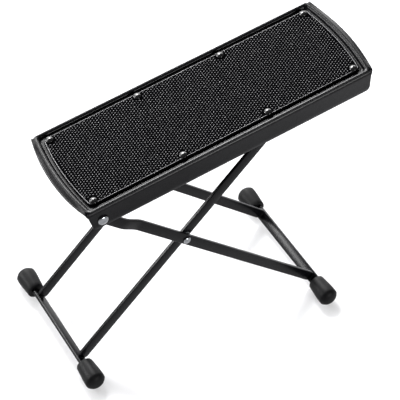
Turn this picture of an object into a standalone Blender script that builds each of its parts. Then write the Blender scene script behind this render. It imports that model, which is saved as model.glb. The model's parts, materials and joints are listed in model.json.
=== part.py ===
"""Folding guitar footrest: a sheet steel tray on two crossed leg frames.

The tray pivots on the outer leg frame at its low end. The inner leg frame crosses the
outer one on two rivets and carries a rod that drops into one of the notches of a rack
under the tray, so the tray can stand at several heights or fold flat.

Lengths are in metres. The tray is drawn level, with +X towards its high end, +Y towards
the back and +Z up from its mat. The whole object is then tilted until its four feet
stand on the floor at z = 0, with the origin under the middle of its outline.
"""

import math

import bmesh
import bpy
from mathutils import Matrix, Vector

# Clearances
FIT_GAP = 0.0003
CUT_OVERRUN = 0.002

# Tray
SHEET = 0.0014
TRAY_WIDTH = 0.0916
TRAY_LENGTH = 0.2472
TRAY_END_BULGE = 0.0070
TRAY_CORNER_RADIUS = 0.0012
SIDE_RIM_WIDTH = 0.0062
END_RIM_WIDTH = 0.0063
RECESS_END_BULGE = 0.0032
RECESS_CORNER_RADIUS = 0.0030
RECESS_DEPTH = 0.0025
FLANGE_DEPTH = 0.0201
FLANGE_CORNER_RADIUS = 0.0035
FLANGE_END_SLANT = 0.0024

# Rubber mat and its rivets
MAT_THICKNESS = 0.0015
MAT_EDGE_GAP = 0.0007
MAT_RIVET_END_MARGIN = 0.0048
MAT_RIVET_INNER_PITCH = 0.0734
MAT_RIVET_ROW_PITCH = 0.0716
MAT_RIVET_HEAD_RADIUS = 0.0031
MAT_RIVET_HEAD_HEIGHT = 0.0015
MAT_RIVET_SHANK_RADIUS = 0.0015
MAT_RIVET_TAIL_RADIUS = 0.0024
MAT_RIVET_TAIL_HEIGHT = 0.0010
MAT_RIVET_CLEARANCE = 0.0030

# Flat steel bar of both leg frames
BAR_WIDTH = 0.0088
BAR_THICKNESS = 0.0029
BAR_CHAMFER = 0.0005
LEG_FOOT_CORNER_RADIUS = 0.0030

# Tray pivot, measured from the rim top and from the tray's left corner
PIVOT_DROP = 0.0130
PIVOT_END_MARGIN = 0.0118
PIVOT_HEAD_RADIUS = 0.0043
PIVOT_HEAD_HEIGHT = 0.0020
PIVOT_SHANK_RADIUS = 0.0024
PIVOT_TAIL_RADIUS = 0.0034
PIVOT_TAIL_HEIGHT = 0.0014

# Outer leg frame, whose jog brings it in from the tray's flanges
OUTER_JOG_DEPTH = 0.0019
OUTER_UPPER_LENGTH = 0.0978
OUTER_LOWER_LENGTH = 0.1664
OUTER_JOG_RISE = 0.0018
OUTER_JOG_START = 0.0240
OUTER_JOG_LENGTH = 0.0200

# Inner leg frame
INNER_UPPER_LENGTH = 0.1195
INNER_LOWER_LENGTH = 0.1326

# Rivets and washers where the two leg frames cross
CROSS_HEAD_RADIUS = 0.0032
CROSS_SHANK_RADIUS = 0.0020
CROSS_TAIL_RADIUS = 0.0029
CROSS_TAIL_HEIGHT = 0.0012
WASHER_RADIUS = 0.0050
WASHER_THICKNESS = 0.0012

# Locking rod and the rack that it drops into
ROD_RADIUS = 0.0025
ROD_END_RADIUS = 0.0019
RACK_FIRST_NOTCH_MARGIN = 0.0781
RACK_NOTCH_PITCH = 0.0125
RACK_NOTCH_COUNT = 5
RACK_NOTCH_DEPTH = 0.0042
RACK_NOTCH_MOUTH = 0.0092
RACK_FLANGE_HEIGHT = 0.0062
RACK_END_LAND = 0.0030
RACK_SHEET = 0.0012
RACK_WEB_WIDTH = 0.0090
RACK_RIVET_CLEARANCE = 0.0010

# Rubber feet, and the bare end of a crossbar between a leg and its foot
CROSSBAR_BARE = 0.0058
FOOT_LENGTH = 0.0233
FOOT_RADIUS = 0.0083
FOOT_NECK_RADIUS = 0.0070
FOOT_POCKET_DEPTH = 0.0165

# Facets round a turned piece
FOOT_SEGMENTS = 24
PIN_SEGMENTS = 20

# Rows of the pressed tray from the recess edge out over the rim and back underneath.
# Each row has shares of the rim's width and the recess depth, then shares of the sheet
# thickness inwards and downwards. An end row also has a share for its corners.
SIDE_ROW_SHARES = (
    (0.000, 1.00, 0.00, 0.00),
    (0.280, 0.88, 0.00, 0.00),
    (0.550, 0.36, 0.00, 0.00),
    (0.700, 0.04, 0.00, 0.00),
    (0.780, 0.00, 0.00, 0.00),
    (0.880, 0.14, 0.00, 0.00),
    (0.930, 0.48, 0.00, 0.00),
    (0.925, 0.92, 0.00, 0.00),
    (1.000, 1.48, 0.00, 0.00),
    (1.000, 2.00, 0.00, 0.00),
    (1.000, 2.00, 1.00, 0.00),
    (1.000, 1.28, 1.00, 0.00),
    (0.780, 0.00, 0.35, 1.30),
    (0.280, 0.88, -0.60, 0.80),
    (0.000, 1.00, -0.50, 1.00),
)
END_ROW_SHARES = (
    (0.000, 0.000, 1.00, 0.00, 0.00),
    (0.100, 0.120, 0.88, 0.00, 0.00),
    (0.200, 0.260, 0.36, 0.00, 0.00),
    (0.290, 0.380, 0.04, 0.00, 0.00),
    (0.354, 0.460, 0.00, 0.00, 0.00),
    (0.450, 0.580, 0.08, 0.00, 0.00),
    (0.620, 0.740, 0.38, 0.00, 0.00),
    (0.820, 0.880, 0.76, 0.00, 0.00),
    (1.000, 1.000, 1.12, 0.00, 0.00),
    (1.000, 1.000, 1.12, 0.00, 1.00),
    (0.820, 1.000, 0.76, 0.00, 1.00),
    (0.500, 1.000, 0.14, 0.00, 1.00),
    (0.354, 0.720, 0.00, 0.00, 1.00),
    (0.150, 0.360, 0.60, 0.00, 1.00),
    (0.000, 0.000, 1.00, 0.00, 1.00),
)
CORNER_STEPS = 4
END_STEPS = 12

# Round head of a rivet, as shares of its radius and height
DOME_SHARES = ((0.22, 1.00), (0.50, 0.93), (0.76, 0.74), (0.93, 0.42), (1.00, 0.10), (1.00, 0.00))

# Rubber foot from its inner end out, as shares of its length and of its bulge
FOOT_SHARES = (
    (0.00, -0.55),
    (0.03, 0.00),
    (0.30, 0.42),
    (0.55, 0.80),
    (0.72, 1.00),
    (0.84, 0.92),
)
FOOT_TIP_SHARES = ((0.93, 0.80), (0.98, 0.55), (1.00, 0.28))

MATERIALS = {
    "black_powder_coat": ((0.016, 0.016, 0.018), 0.42, 0.35),
    "black_mat_rubber": ((0.022, 0.022, 0.024), 0.78, 0.0),
    "black_foot_rubber": ((0.015, 0.015, 0.016), 0.60, 0.0),
    "black_rivet_enamel": ((0.010, 0.010, 0.011), 0.16, 0.0),
    "bright_zinc": ((0.72, 0.73, 0.75), 0.24, 1.0),
    "dull_zinc": ((0.50, 0.51, 0.53), 0.38, 1.0),
}

# Places worked out from the sizes above
RECESS_WIDTH = TRAY_WIDTH - 2 * SIDE_RIM_WIDTH
RECESS_LENGTH = TRAY_LENGTH - 2 * END_RIM_WIDTH
TRAY_OUTER_Y = TRAY_WIDTH / 2
TRAY_INNER_Y = TRAY_OUTER_Y - SHEET
PANEL_TOP_Z = -RECESS_DEPTH
PANEL_UNDER_Z = PANEL_TOP_Z - SHEET
MAT_UNDER_Z = PANEL_TOP_Z + FIT_GAP
MAT_TOP_Z = MAT_UNDER_Z + MAT_THICKNESS
PIVOT_X = -TRAY_LENGTH / 2 + PIVOT_END_MARGIN
RACK_FIRST_NOTCH = TRAY_LENGTH / 2 - RACK_FIRST_NOTCH_MARGIN
RACK_TOP_Z = PANEL_UNDER_Z - FIT_GAP
RACK_WEB_Y = MAT_RIVET_ROW_PITCH / 2 - MAT_RIVET_TAIL_RADIUS - RACK_RIVET_CLEARANCE
RACK_FLANGE_TOP_Z = RACK_TOP_Z - RACK_SHEET
RACK_TIP_Z = RACK_FLANGE_TOP_Z - RACK_FLANGE_HEIGHT
ROD_Z = RACK_TIP_Z - FIT_GAP - ROD_RADIUS
OUTER_HIGH_Y = TRAY_INNER_Y - FIT_GAP - BAR_THICKNESS / 2
OUTER_LOW_Y = OUTER_HIGH_Y - OUTER_JOG_DEPTH
OUTER_FRAME_WIDTH = 2 * OUTER_LOW_Y + BAR_THICKNESS
CROSS_HEAD_HEIGHT = OUTER_JOG_DEPTH - FIT_GAP
INNER_Y = OUTER_LOW_Y - BAR_THICKNESS - WASHER_THICKNESS - 2 * FIT_GAP
INNER_FRAME_WIDTH = 2 * INNER_Y + BAR_THICKNESS


def linkage():
    """Angles of both leg frames below and above the tray, and the point where they cross."""
    pivot = Vector((PIVOT_X, 0.0, -PIVOT_DROP))
    rod = Vector((RACK_FIRST_NOTCH, 0.0, ROD_Z))
    span = rod - pivot
    outer = math.hypot(OUTER_UPPER_LENGTH, OUTER_JOG_RISE)
    inner = INNER_UPPER_LENGTH
    reach = span.length
    base = math.atan2(span.z, span.x)
    at_pivot = math.acos((outer ** 2 + reach ** 2 - inner ** 2) / (2 * outer * reach))
    to_cross = base - at_pivot
    cross = pivot + Vector((math.cos(to_cross), 0.0, math.sin(to_cross))) * outer
    up = rod - cross
    outer_angle = -to_cross + math.atan2(OUTER_JOG_RISE, OUTER_UPPER_LENGTH)
    inner_angle = math.atan2(up.z, up.x)
    return pivot, cross, outer_angle, inner_angle


def clear_scene():
    for obj in list(bpy.data.objects):
        bpy.data.objects.remove(obj, do_unlink=True)
    for mesh in list(bpy.data.meshes):
        bpy.data.meshes.remove(mesh)
    for material in list(bpy.data.materials):
        bpy.data.materials.remove(material)


def make_material(name):
    colour, roughness, metallic = MATERIALS[name]
    material = bpy.data.materials.new(name)
    material.use_nodes = True
    shader = material.node_tree.nodes["Principled BSDF"]
    shader.inputs["Base Color"].default_value = (*colour, 1.0)
    shader.inputs["Roughness"].default_value = roughness
    shader.inputs["Metallic"].default_value = metallic
    material.diffuse_color = (*colour, 1.0)
    return material


def make_empty(name, location, angle, parent=None):
    empty = bpy.data.objects.new(name, None)
    bpy.context.scene.collection.objects.link(empty)
    empty.location = location
    empty.rotation_euler = (0.0, angle, 0.0)
    empty.parent = parent
    return empty


def make_object(name, mesh_data, location, parent, material):
    obj = bpy.data.objects.new(name, mesh_data)
    bpy.context.scene.collection.objects.link(obj)
    obj.location = location
    obj.parent = parent
    if material is not None:
        mesh_data.materials.append(material)
    return obj


def finish_mesh(bm, name, smooth_angle=None):
    """Turn a bmesh into a mesh with its faces pointing out."""
    bmesh.ops.recalc_face_normals(bm, faces=bm.faces)
    mesh = bpy.data.meshes.new(name)
    bm.to_mesh(mesh)
    bm.free()
    if smooth_angle is not None:
        mesh.shade_smooth()
        mesh.set_sharp_from_angle(angle=math.radians(smooth_angle))
    return mesh


def bridge_rows(bm, rows):
    """Skin a list of closed rows that all have the same number of corners."""
    count = len(rows[0])
    for near, far in zip(rows, rows[1:]):
        for i in range(count):
            j = (i + 1) % count
            bm.faces.new((near[i], near[j], far[j], far[i]))


def loft(name, rings, smooth_angle=None):
    """A solid through closed rings, with a flat cap on each end."""
    bm = bmesh.new()
    rows = [[bm.verts.new(point) for point in ring] for ring in rings]
    bridge_rows(bm, rows)
    bm.faces.new(rows[0])
    bm.faces.new(rows[-1])
    return finish_mesh(bm, name, smooth_angle)


def turned(name, profile, axis, segments, smooth_angle=40):
    """A solid turned about an axis through the origin from (place, radius) pairs."""
    turn = Vector((0.0, 0.0, 1.0)).rotation_difference(axis).to_matrix()
    rings = []
    for place, radius in profile:
        ring = []
        for i in range(segments):
            angle = 2 * math.pi * i / segments
            point = Vector((radius * math.cos(angle), radius * math.sin(angle), place))
            ring.append(turn @ point)
        rings.append(ring)
    return loft(name, rings, smooth_angle)


def cutter_object(name, meshes, parent):
    """One hidden cutting tool made of several closed shapes at their places."""
    bm = bmesh.new()
    for mesh, place in meshes:
        shape = bmesh.new()
        shape.from_mesh(mesh)
        shape.transform(Matrix.Translation(place))
        moved = bpy.data.meshes.new(name)
        shape.to_mesh(moved)
        shape.free()
        bm.from_mesh(moved)
    tool = make_object(name, finish_mesh(bm, name), (0.0, 0.0, 0.0), parent, None)
    tool.hide_render = True
    tool.display_type = 'WIRE'
    return tool


def cut(obj, tool):
    modifier = obj.modifiers.new("holes", 'BOOLEAN')
    modifier.operation = 'DIFFERENCE'
    modifier.solver = 'EXACT'
    modifier.object = tool


def hole(radius, low, high, axis):
    """A closed round tool from low to high along an axis through the origin."""
    profile = ((low - CUT_OVERRUN, radius), (high + CUT_OVERRUN, radius))
    return turned("hole", profile, axis, PIN_SEGMENTS)


def dome(radius, height, base):
    return [(base + height * up, radius * out) for out, up in DOME_SHARES]


def rivet_profile(head_radius, head_height, head_base, shank_radius, tail_top, tail_radius, tail_height):
    """Round head on top, a shank, and the closed end below."""
    profile = dome(head_radius, head_height, head_base)
    profile.append((head_base, shank_radius))
    profile.append((tail_top, shank_radius))
    profile.append((tail_top, tail_radius))
    profile += [(tail_top - height, out) for height, out in tail_steps(tail_radius, tail_height)]
    return profile


def tail_steps(radius, height):
    shares = ((0.45, 1.00), (0.80, 0.86), (1.00, 0.60))
    return [(height * down_share, radius * out_share) for down_share, out_share in shares]


def end_outline(half_width, corner_x, bulge, radius):
    """One curved end from the back side round to the front side, with end weights."""
    points = []
    straight_y = half_width - radius

    def end_x(y):
        return bulge * (1 - (y / half_width) ** 2)

    for step in range(CORNER_STEPS + 1):
        angle = math.pi / 2 * step / CORNER_STEPS
        y = straight_y + radius * math.cos(angle)
        x = corner_x - radius + radius * math.sin(angle) + end_x(y)
        points.append((x, y, step / CORNER_STEPS))
    for step in range(1, END_STEPS // 2 + 1):
        y = straight_y * (1 - 2 * step / END_STEPS)
        points.append((corner_x + end_x(y), y, 1.0))
    front = [(x, -y, weight) for x, y, weight in reversed(points[:-1])]
    return points + front


def full_outline(half_width, corner_x, bulge, radius):
    """The right end and then the left end, each as (x, y, end weight)."""
    right = end_outline(half_width, corner_x, bulge, radius)
    left = [(-x, y, weight) for x, y, weight in reversed(right)]
    return right + left


def blend(low, high, share):
    return low + (high - low) * share


def tray_row(side, end):
    """One row of the pressed tray, level with itself along the sides and along the ends."""
    side_share, side_drop, side_in, side_down = side
    end_share, corner_share, end_drop, end_in, end_down = end
    half_width = blend(RECESS_WIDTH, TRAY_WIDTH, side_share) / 2 - side_in * SHEET
    corner_x = blend(RECESS_LENGTH, TRAY_LENGTH, corner_share) / 2 - end_in * SHEET
    bulge = blend(RECESS_END_BULGE, TRAY_END_BULGE, end_share)
    radius = blend(RECESS_CORNER_RADIUS, TRAY_CORNER_RADIUS, corner_share)
    side_z = -side_drop * RECESS_DEPTH - side_down * SHEET
    end_z = -end_drop * RECESS_DEPTH - end_down * SHEET
    outline = full_outline(half_width, corner_x, bulge, radius)
    return [Vector((x, y, blend(side_z, end_z, weight))) for x, y, weight in outline]


def flange_steps(top_z):
    """Heights down a side flange with how far its slanted, rounded ends draw in."""
    bottom = -FLANGE_DEPTH
    height = top_z - bottom
    steps = []
    for step in range(CORNER_STEPS + 1):
        angle = math.pi / 2 * step / CORNER_STEPS
        z = bottom + FLANGE_CORNER_RADIUS * (1 - math.sin(angle))
        inset = FLANGE_CORNER_RADIUS * (1 - math.cos(angle))
        inset += FLANGE_END_SLANT * (top_z - z) / height
        steps.append((z, inset))
    return steps


def add_flange(bm, outer, inner):
    """Draw the strip under one side of the rim down into its flange."""
    near = [outer[0], outer[1], inner[1], inner[0]]
    tops = [vert.co.copy() for vert in near]
    for z, inset in flange_steps(tops[0].z):
        ring = []
        for top in tops:
            x = top.x - math.copysign(inset, top.x)
            ring.append(bm.verts.new((x, top.y, z)))
        for i in range(len(near)):
            j = (i + 1) % len(near)
            bm.faces.new((near[i], near[j], ring[j], ring[i]))
        near = ring
    bm.faces.new(near)


def tray_mesh():
    bm = bmesh.new()
    rows = []
    for side, end in zip(SIDE_ROW_SHARES, END_ROW_SHARES):
        rows.append([bm.verts.new(point) for point in tray_row(side, end)])
    count = len(rows[0])
    half = count // 2
    strips = {(half - 1, half), (count - 1, 0)}
    under = [i for i, side in enumerate(SIDE_ROW_SHARES) if side[2] == 1.0][0]
    for row, (near, far) in enumerate(zip(rows, rows[1:])):
        for i in range(count):
            j = (i + 1) % count
            if row == under - 1 and (i, j) in strips:
                add_flange(bm, (near[i], near[j]), (far[i], far[j]))
                continue
            bm.faces.new((near[i], near[j], far[j], far[i]))
    bm.faces.new(rows[0])
    bm.faces.new(rows[-1])
    return finish_mesh(bm, "tray", 35)


def mat_rivet_places():
    """X places along one row of the mat's rivets, evenly set about the middle."""
    end_x = MAT_RIVET_INNER_PITCH / 2
    outer_x = RECESS_LENGTH / 2 - MAT_RIVET_END_MARGIN
    return (-outer_x, -end_x, end_x, outer_x)


def mat_rivet_points():
    points = []
    for side, y in (("front", -MAT_RIVET_ROW_PITCH / 2), ("rear", MAT_RIVET_ROW_PITCH / 2)):
        for number, x in enumerate(mat_rivet_places(), 1):
            points.append((f"mat_rivet_{side}_{number}", x, y))
    return points


def build_tray(parent, pivot, paint):
    tray = make_object("tray", tray_mesh(), (0.0, 0.0, 0.0), parent, paint)
    up = Vector((0.0, 0.0, 1.0))
    back = Vector((0.0, 1.0, 0.0))
    panel_hole = hole(MAT_RIVET_SHANK_RADIUS + FIT_GAP, PANEL_UNDER_Z, PANEL_TOP_Z, up)
    shapes = [(panel_hole, (x, y, 0.0)) for _, x, y in mat_rivet_points()]
    for low, high in ((TRAY_INNER_Y, TRAY_OUTER_Y), (-TRAY_OUTER_Y, -TRAY_INNER_Y)):
        shapes.append((hole(PIVOT_SHANK_RADIUS + FIT_GAP, low, high, back), pivot))
    cut(tray, cutter_object("tray_holes", shapes, parent))
    return tray


def split_mat(sheet):
    """Part the mat's faces between its rivet rows from those that hold the rivets."""
    edge_y = MAT_RIVET_ROW_PITCH / 2 - MAT_RIVET_HEAD_RADIUS - MAT_RIVET_CLEARANCE
    bm = bmesh.new()
    bm.from_mesh(sheet)
    for y in (-edge_y, edge_y):
        geometry = bm.verts[:] + bm.edges[:] + bm.faces[:]
        bmesh.ops.bisect_plane(bm, geom=geometry, plane_co=(0.0, y, 0.0), plane_no=(0.0, 1.0, 0.0))
    bm.to_mesh(sheet)
    bm.free()


def build_mat(parent, rubber):
    half_width = RECESS_WIDTH / 2 - MAT_EDGE_GAP
    corner_x = RECESS_LENGTH / 2 - MAT_EDGE_GAP
    edge = MAT_THICKNESS / 3
    rings = []
    for z, inset in ((MAT_UNDER_Z, 0.0), (MAT_TOP_Z - edge, 0.0), (MAT_TOP_Z, edge)):
        outline = full_outline(half_width - inset, corner_x - inset, RECESS_END_BULGE, RECESS_CORNER_RADIUS)
        rings.append([Vector((x, y, z)) for x, y, _ in outline])
    sheet = loft("rubber_mat", rings)
    split_mat(sheet)
    mat = make_object("rubber_mat", sheet, (0.0, 0.0, 0.0), parent, rubber)
    up = Vector((0.0, 0.0, 1.0))
    shape = hole(MAT_RIVET_SHANK_RADIUS + FIT_GAP, MAT_UNDER_Z, MAT_TOP_Z, up)
    shapes = [(shape, (x, y, 0.0)) for _, x, y in mat_rivet_points()]
    cut(mat, cutter_object("mat_holes", shapes, parent))
    return mat


def build_mat_rivets(parent, enamel):
    profile = rivet_profile(
        MAT_RIVET_HEAD_RADIUS, MAT_RIVET_HEAD_HEIGHT, MAT_TOP_Z + FIT_GAP, MAT_RIVET_SHANK_RADIUS,
        PANEL_UNDER_Z - FIT_GAP, MAT_RIVET_TAIL_RADIUS, MAT_RIVET_TAIL_HEIGHT)
    up = Vector((0.0, 0.0, 1.0))
    for name, x, y in mat_rivet_points():
        mesh = turned(name, profile, up, PIN_SEGMENTS)
        make_object(name, mesh, (x, y, 0.0), parent, enamel)


def rack_outline():
    """Side view of the toothed flange from its first end, with open notches below."""
    root_half = ROD_RADIUS + FIT_GAP
    mouth_half = RACK_NOTCH_MOUTH / 2
    root_z = RACK_TIP_Z + RACK_NOTCH_DEPTH
    last = RACK_FIRST_NOTCH + RACK_NOTCH_PITCH * (RACK_NOTCH_COUNT - 1)
    start = RACK_FIRST_NOTCH - mouth_half - RACK_END_LAND
    end = last + mouth_half + RACK_END_LAND / 2
    points = [(end, RACK_TOP_Z), (start, RACK_TOP_Z), (start, RACK_TIP_Z)]
    for number in range(RACK_NOTCH_COUNT):
        x = RACK_FIRST_NOTCH + RACK_NOTCH_PITCH * number
        points.append((x - mouth_half, RACK_TIP_Z))
        points.append((x - root_half, root_z - ROD_RADIUS / 2))
        points.append((x - root_half / 2, root_z))
        points.append((x + root_half / 2, root_z))
        points.append((x + root_half, root_z - ROD_RADIUS / 2))
        points.append((x + mouth_half, RACK_TIP_Z))
    points.append((end, RACK_TIP_Z))
    return points, start, end


def build_rack(parent, side, paint):
    """A strip of angle under the tray: a flat web and a notched flange."""
    outline, start, end = rack_outline()
    sign = -1 if side == "front" else 1
    web_y = sign * RACK_WEB_Y
    flange_y = sign * (RACK_WEB_Y - RACK_WEB_WIDTH)
    face_y = flange_y + sign * RACK_SHEET
    bm = bmesh.new()
    faces = []
    for y in (flange_y, face_y):
        faces.append([bm.verts.new((x, y, z)) for x, z in outline])
    inner, outer = faces
    tab = []
    for x, z in ((end, RACK_TOP_Z), (start, RACK_TOP_Z), (start, RACK_FLANGE_TOP_Z), (end, RACK_FLANGE_TOP_Z)):
        tab.append(bm.verts.new((x, web_y, z)))
    fold = []
    for x in (start, end):
        fold.append(bm.verts.new((x, face_y, RACK_FLANGE_TOP_Z)))
    fold_start, fold_end = fold
    count = len(outline)
    bm.faces.new(inner)
    for i in range(2, count - 1):
        bm.faces.new((inner[i], inner[i + 1], outer[i + 1], outer[i]))
    bm.faces.new((outer[2], *outer[3:], fold_end, fold_start))
    bm.faces.new((inner[0], inner[1], tab[1], tab[0]))
    bm.faces.new((tab[0], tab[1], tab[2], tab[3]))
    bm.faces.new((tab[3], tab[2], fold_start, fold_end))
    bm.faces.new((inner[1], inner[2], outer[2], fold_start, tab[2], tab[1]))
    bm.faces.new((inner[0], tab[0], tab[3], fold_end, outer[-1], inner[-1]))
    for spare in (outer[0], outer[1]):
        bm.verts.remove(spare)
    name = f"height_rack_{side}"
    return make_object(name, finish_mesh(bm, name), (0.0, 0.0, 0.0), parent, paint)


def bar_ring(place, centre_y, centre_z, half_width):
    """Cross-section of a flat bar that runs along X, with chamfered edges."""
    half_thick = BAR_THICKNESS / 2
    chamfer = min(BAR_CHAMFER, half_width / 2)
    flat_y = half_thick - BAR_CHAMFER
    flat_z = half_width - chamfer
    corners = (
        (flat_y, half_width), (half_thick, flat_z), (half_thick, -flat_z), (flat_y, -half_width),
        (-flat_y, -half_width), (-half_thick, -flat_z), (-half_thick, flat_z), (-flat_y, half_width))
    return [Vector((place, centre_y + y, centre_z + z)) for y, z in corners]


def round_end(direction, centre_x, y, z):
    """Rings of a half-round end about centre_x, from its tip in to the full width."""
    half = BAR_WIDTH / 2
    rings = []
    steps = 6
    for step in range(1, steps + 1):
        angle = math.pi / 2 * step / steps
        place = centre_x + direction * half * math.cos(angle)
        rings.append(bar_ring(place, y, z, half * math.sin(angle)))
    return rings


def corner_end(direction, end_x, y, z):
    """Rings of a square end with rounded corners, from the full width out to the end."""
    half = BAR_WIDTH / 2
    rings = []
    for step in range(CORNER_STEPS + 1):
        angle = math.pi / 2 * step / CORNER_STEPS
        drop = LEG_FOOT_CORNER_RADIUS * (1 - math.cos(angle))
        place = end_x - direction * LEG_FOOT_CORNER_RADIUS * (1 - math.sin(angle))
        rings.append(bar_ring(place, y, z, half - drop))
    return rings


def outer_leg_mesh(sign):
    """Outer leg from the tray pivot at the origin, with a jog that brings it in."""
    high_y = sign * OUTER_HIGH_Y
    low_y = sign * OUTER_LOW_Y
    half = BAR_WIDTH / 2
    rings = round_end(-1, 0.0, high_y, 0.0)
    steps = 6
    for step in range(steps + 1):
        share = step / steps
        ease = share * share * (3 - 2 * share)
        place = OUTER_JOG_START + OUTER_JOG_LENGTH * share
        rings.append(bar_ring(place, blend(high_y, low_y, ease), OUTER_JOG_RISE * ease, half))
    end_x = OUTER_UPPER_LENGTH + OUTER_LOWER_LENGTH - FIT_GAP
    rings += corner_end(1, end_x, low_y, OUTER_JOG_RISE)
    return loft("outer_leg", rings)


def inner_leg_mesh(sign):
    """Inner leg with its origin where the frames cross, up to the rod and down to its foot."""
    y = sign * INNER_Y
    rings = corner_end(-1, -(INNER_LOWER_LENGTH - FIT_GAP), y, 0.0)
    rings.reverse()
    rings += reversed(round_end(1, INNER_UPPER_LENGTH, y, 0.0))
    return loft("inner_leg", rings)


def crossbar_mesh(half_length):
    """Flat bar along Y with its broad faces square to the legs."""
    rings = [bar_ring(place, 0.0, 0.0, BAR_WIDTH / 2) for place in (-half_length, half_length)]
    turned_rings = [[Vector((-p.y, p.x, p.z)) for p in ring] for ring in rings]
    return loft("crossbar", turned_rings)


def foot_mesh(sign):
    """Rubber foot turned about Y, from its open inner end out to its round tip."""
    bulge = FOOT_RADIUS - FOOT_NECK_RADIUS
    profile = [(FOOT_LENGTH * out, FOOT_NECK_RADIUS + bulge * swell) for out, swell in FOOT_SHARES]
    profile += [(FOOT_LENGTH * out, FOOT_RADIUS * swell) for out, swell in FOOT_TIP_SHARES]
    profile = [(sign * place, radius) for place, radius in profile]
    return turned("foot", profile, Vector((0.0, 1.0, 0.0)), FOOT_SEGMENTS, 50)


def pocket_mesh(sign):
    """Slot in a foot for the end of its crossbar."""
    half_x = BAR_THICKNESS / 2 + FIT_GAP
    half_z = BAR_WIDTH / 2 + FIT_GAP
    corners = ((half_x, half_z), (half_x, -half_z), (-half_x, -half_z), (-half_x, half_z))
    depth = sign * (FOOT_POCKET_DEPTH + FIT_GAP)
    start = -sign * CUT_OVERRUN
    return loft("pocket", [[Vector((x, y, z)) for x, z in corners] for y in (start, depth)])


def build_feet(label, frame, axis_x, axis_z, face_y, rubber):
    """Two feet of a leg frame, pushed on the ends of its crossbar."""
    for side, sign in (("front", -1), ("rear", 1)):
        name = f"rubber_foot_{label}_{side}"
        place = Vector((axis_x, sign * (face_y + CROSSBAR_BARE), axis_z))
        foot = make_object(name, foot_mesh(sign), place, frame, rubber)
        tool = cutter_object(f"{name}_pocket", [(pocket_mesh(sign), place)], frame)
        cut(foot, tool)


def build_legs(label, frame, mesh_for, low_y, high_y, pins, paint):
    """Two legs of a frame with their holes, each as (centre x, centre z, pin radius)."""
    back = Vector((0.0, 1.0, 0.0))
    for side, sign in (("front", -1), ("rear", 1)):
        name = f"{label}_leg_{side}"
        leg = make_object(name, mesh_for(sign), (0.0, 0.0, 0.0), frame, paint)
        low, high = sorted((sign * low_y, sign * high_y))
        shapes = []
        for x, z, radius in pins:
            shapes.append((hole(radius + FIT_GAP, low, high, back), (x, 0.0, z)))
        cut(leg, cutter_object(f"{name}_holes", shapes, frame))


def build_outer_frame(frame, cross, paint, rubber):
    pins = ((0.0, 0.0, PIVOT_SHANK_RADIUS), (cross.x, cross.z, CROSS_SHANK_RADIUS))
    half = BAR_THICKNESS / 2
    build_legs("outer", frame, outer_leg_mesh, OUTER_LOW_Y - half, OUTER_HIGH_Y + half, pins, paint)
    axis_x = OUTER_UPPER_LENGTH + OUTER_LOWER_LENGTH + half
    face_y = OUTER_FRAME_WIDTH / 2
    bar = crossbar_mesh(face_y + CROSSBAR_BARE + FOOT_POCKET_DEPTH)
    make_object("outer_crossbar", bar, (axis_x, 0.0, OUTER_JOG_RISE), frame, paint)
    build_feet("outer", frame, axis_x, OUTER_JOG_RISE, face_y, rubber)
    return Vector((axis_x, 0.0, OUTER_JOG_RISE))


def build_inner_frame(frame, paint, rubber):
    half = BAR_THICKNESS / 2
    pins = ((0.0, 0.0, CROSS_SHANK_RADIUS), (INNER_UPPER_LENGTH, 0.0, ROD_END_RADIUS))
    build_legs("inner", frame, inner_leg_mesh, INNER_Y - half, INNER_Y + half, pins, paint)
    axis_x = -(INNER_LOWER_LENGTH + half)
    face_y = INNER_FRAME_WIDTH / 2
    bar = crossbar_mesh(face_y + CROSSBAR_BARE + FOOT_POCKET_DEPTH)
    make_object("inner_crossbar", bar, (axis_x, 0.0, 0.0), frame, paint)
    build_feet("inner", frame, axis_x, 0.0, face_y, rubber)
    return Vector((axis_x, 0.0, 0.0))


def build_rod(frame, paint):
    """Locking rod between the inner legs, with turned-down ends through their holes."""
    shoulder = INNER_FRAME_WIDTH / 2 - BAR_THICKNESS - FIT_GAP
    tip = INNER_FRAME_WIDTH / 2
    chamfer = BAR_CHAMFER / 2
    half = [(tip, ROD_END_RADIUS - chamfer), (tip - chamfer, ROD_END_RADIUS), (shoulder, ROD_END_RADIUS)]
    half += [(shoulder, ROD_RADIUS - chamfer), (shoulder - chamfer, ROD_RADIUS)]
    profile = half + [(-place, radius) for place, radius in reversed(half)]
    mesh = turned("locking_rod", profile, Vector((0.0, 1.0, 0.0)), PIN_SEGMENTS)
    make_object("locking_rod", mesh, (INNER_UPPER_LENGTH, 0.0, 0.0), frame, paint)


def build_pivot_rivets(frame, zinc):
    """Rivets through the tray flanges and the outer legs, head outside."""
    tail_top = OUTER_HIGH_Y - BAR_THICKNESS / 2 - FIT_GAP
    profile = rivet_profile(
        PIVOT_HEAD_RADIUS, PIVOT_HEAD_HEIGHT, TRAY_OUTER_Y + FIT_GAP, PIVOT_SHANK_RADIUS,
        tail_top, PIVOT_TAIL_RADIUS, PIVOT_TAIL_HEIGHT)
    build_pair("pivot_rivet", profile, frame, (0.0, 0.0, 0.0), zinc)


def build_cross_rivets(frame, cross, zinc):
    """Rivets that join the outer and inner legs where they cross."""
    tail_top = INNER_FRAME_WIDTH / 2 - BAR_THICKNESS - FIT_GAP
    profile = rivet_profile(
        CROSS_HEAD_RADIUS, CROSS_HEAD_HEIGHT, OUTER_FRAME_WIDTH / 2 + FIT_GAP, CROSS_SHANK_RADIUS,
        tail_top, CROSS_TAIL_RADIUS, CROSS_TAIL_HEIGHT)
    build_pair("cross_rivet", profile, frame, cross, zinc)


def build_pair(label, profile, frame, place, material):
    for side, sign in (("front", -1), ("rear", 1)):
        name = f"{label}_{side}"
        mirrored = [(sign * along, radius) for along, radius in profile]
        mesh = turned(name, mirrored, Vector((0.0, 1.0, 0.0)), PIN_SEGMENTS)
        make_object(name, mesh, place, frame, material)


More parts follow.
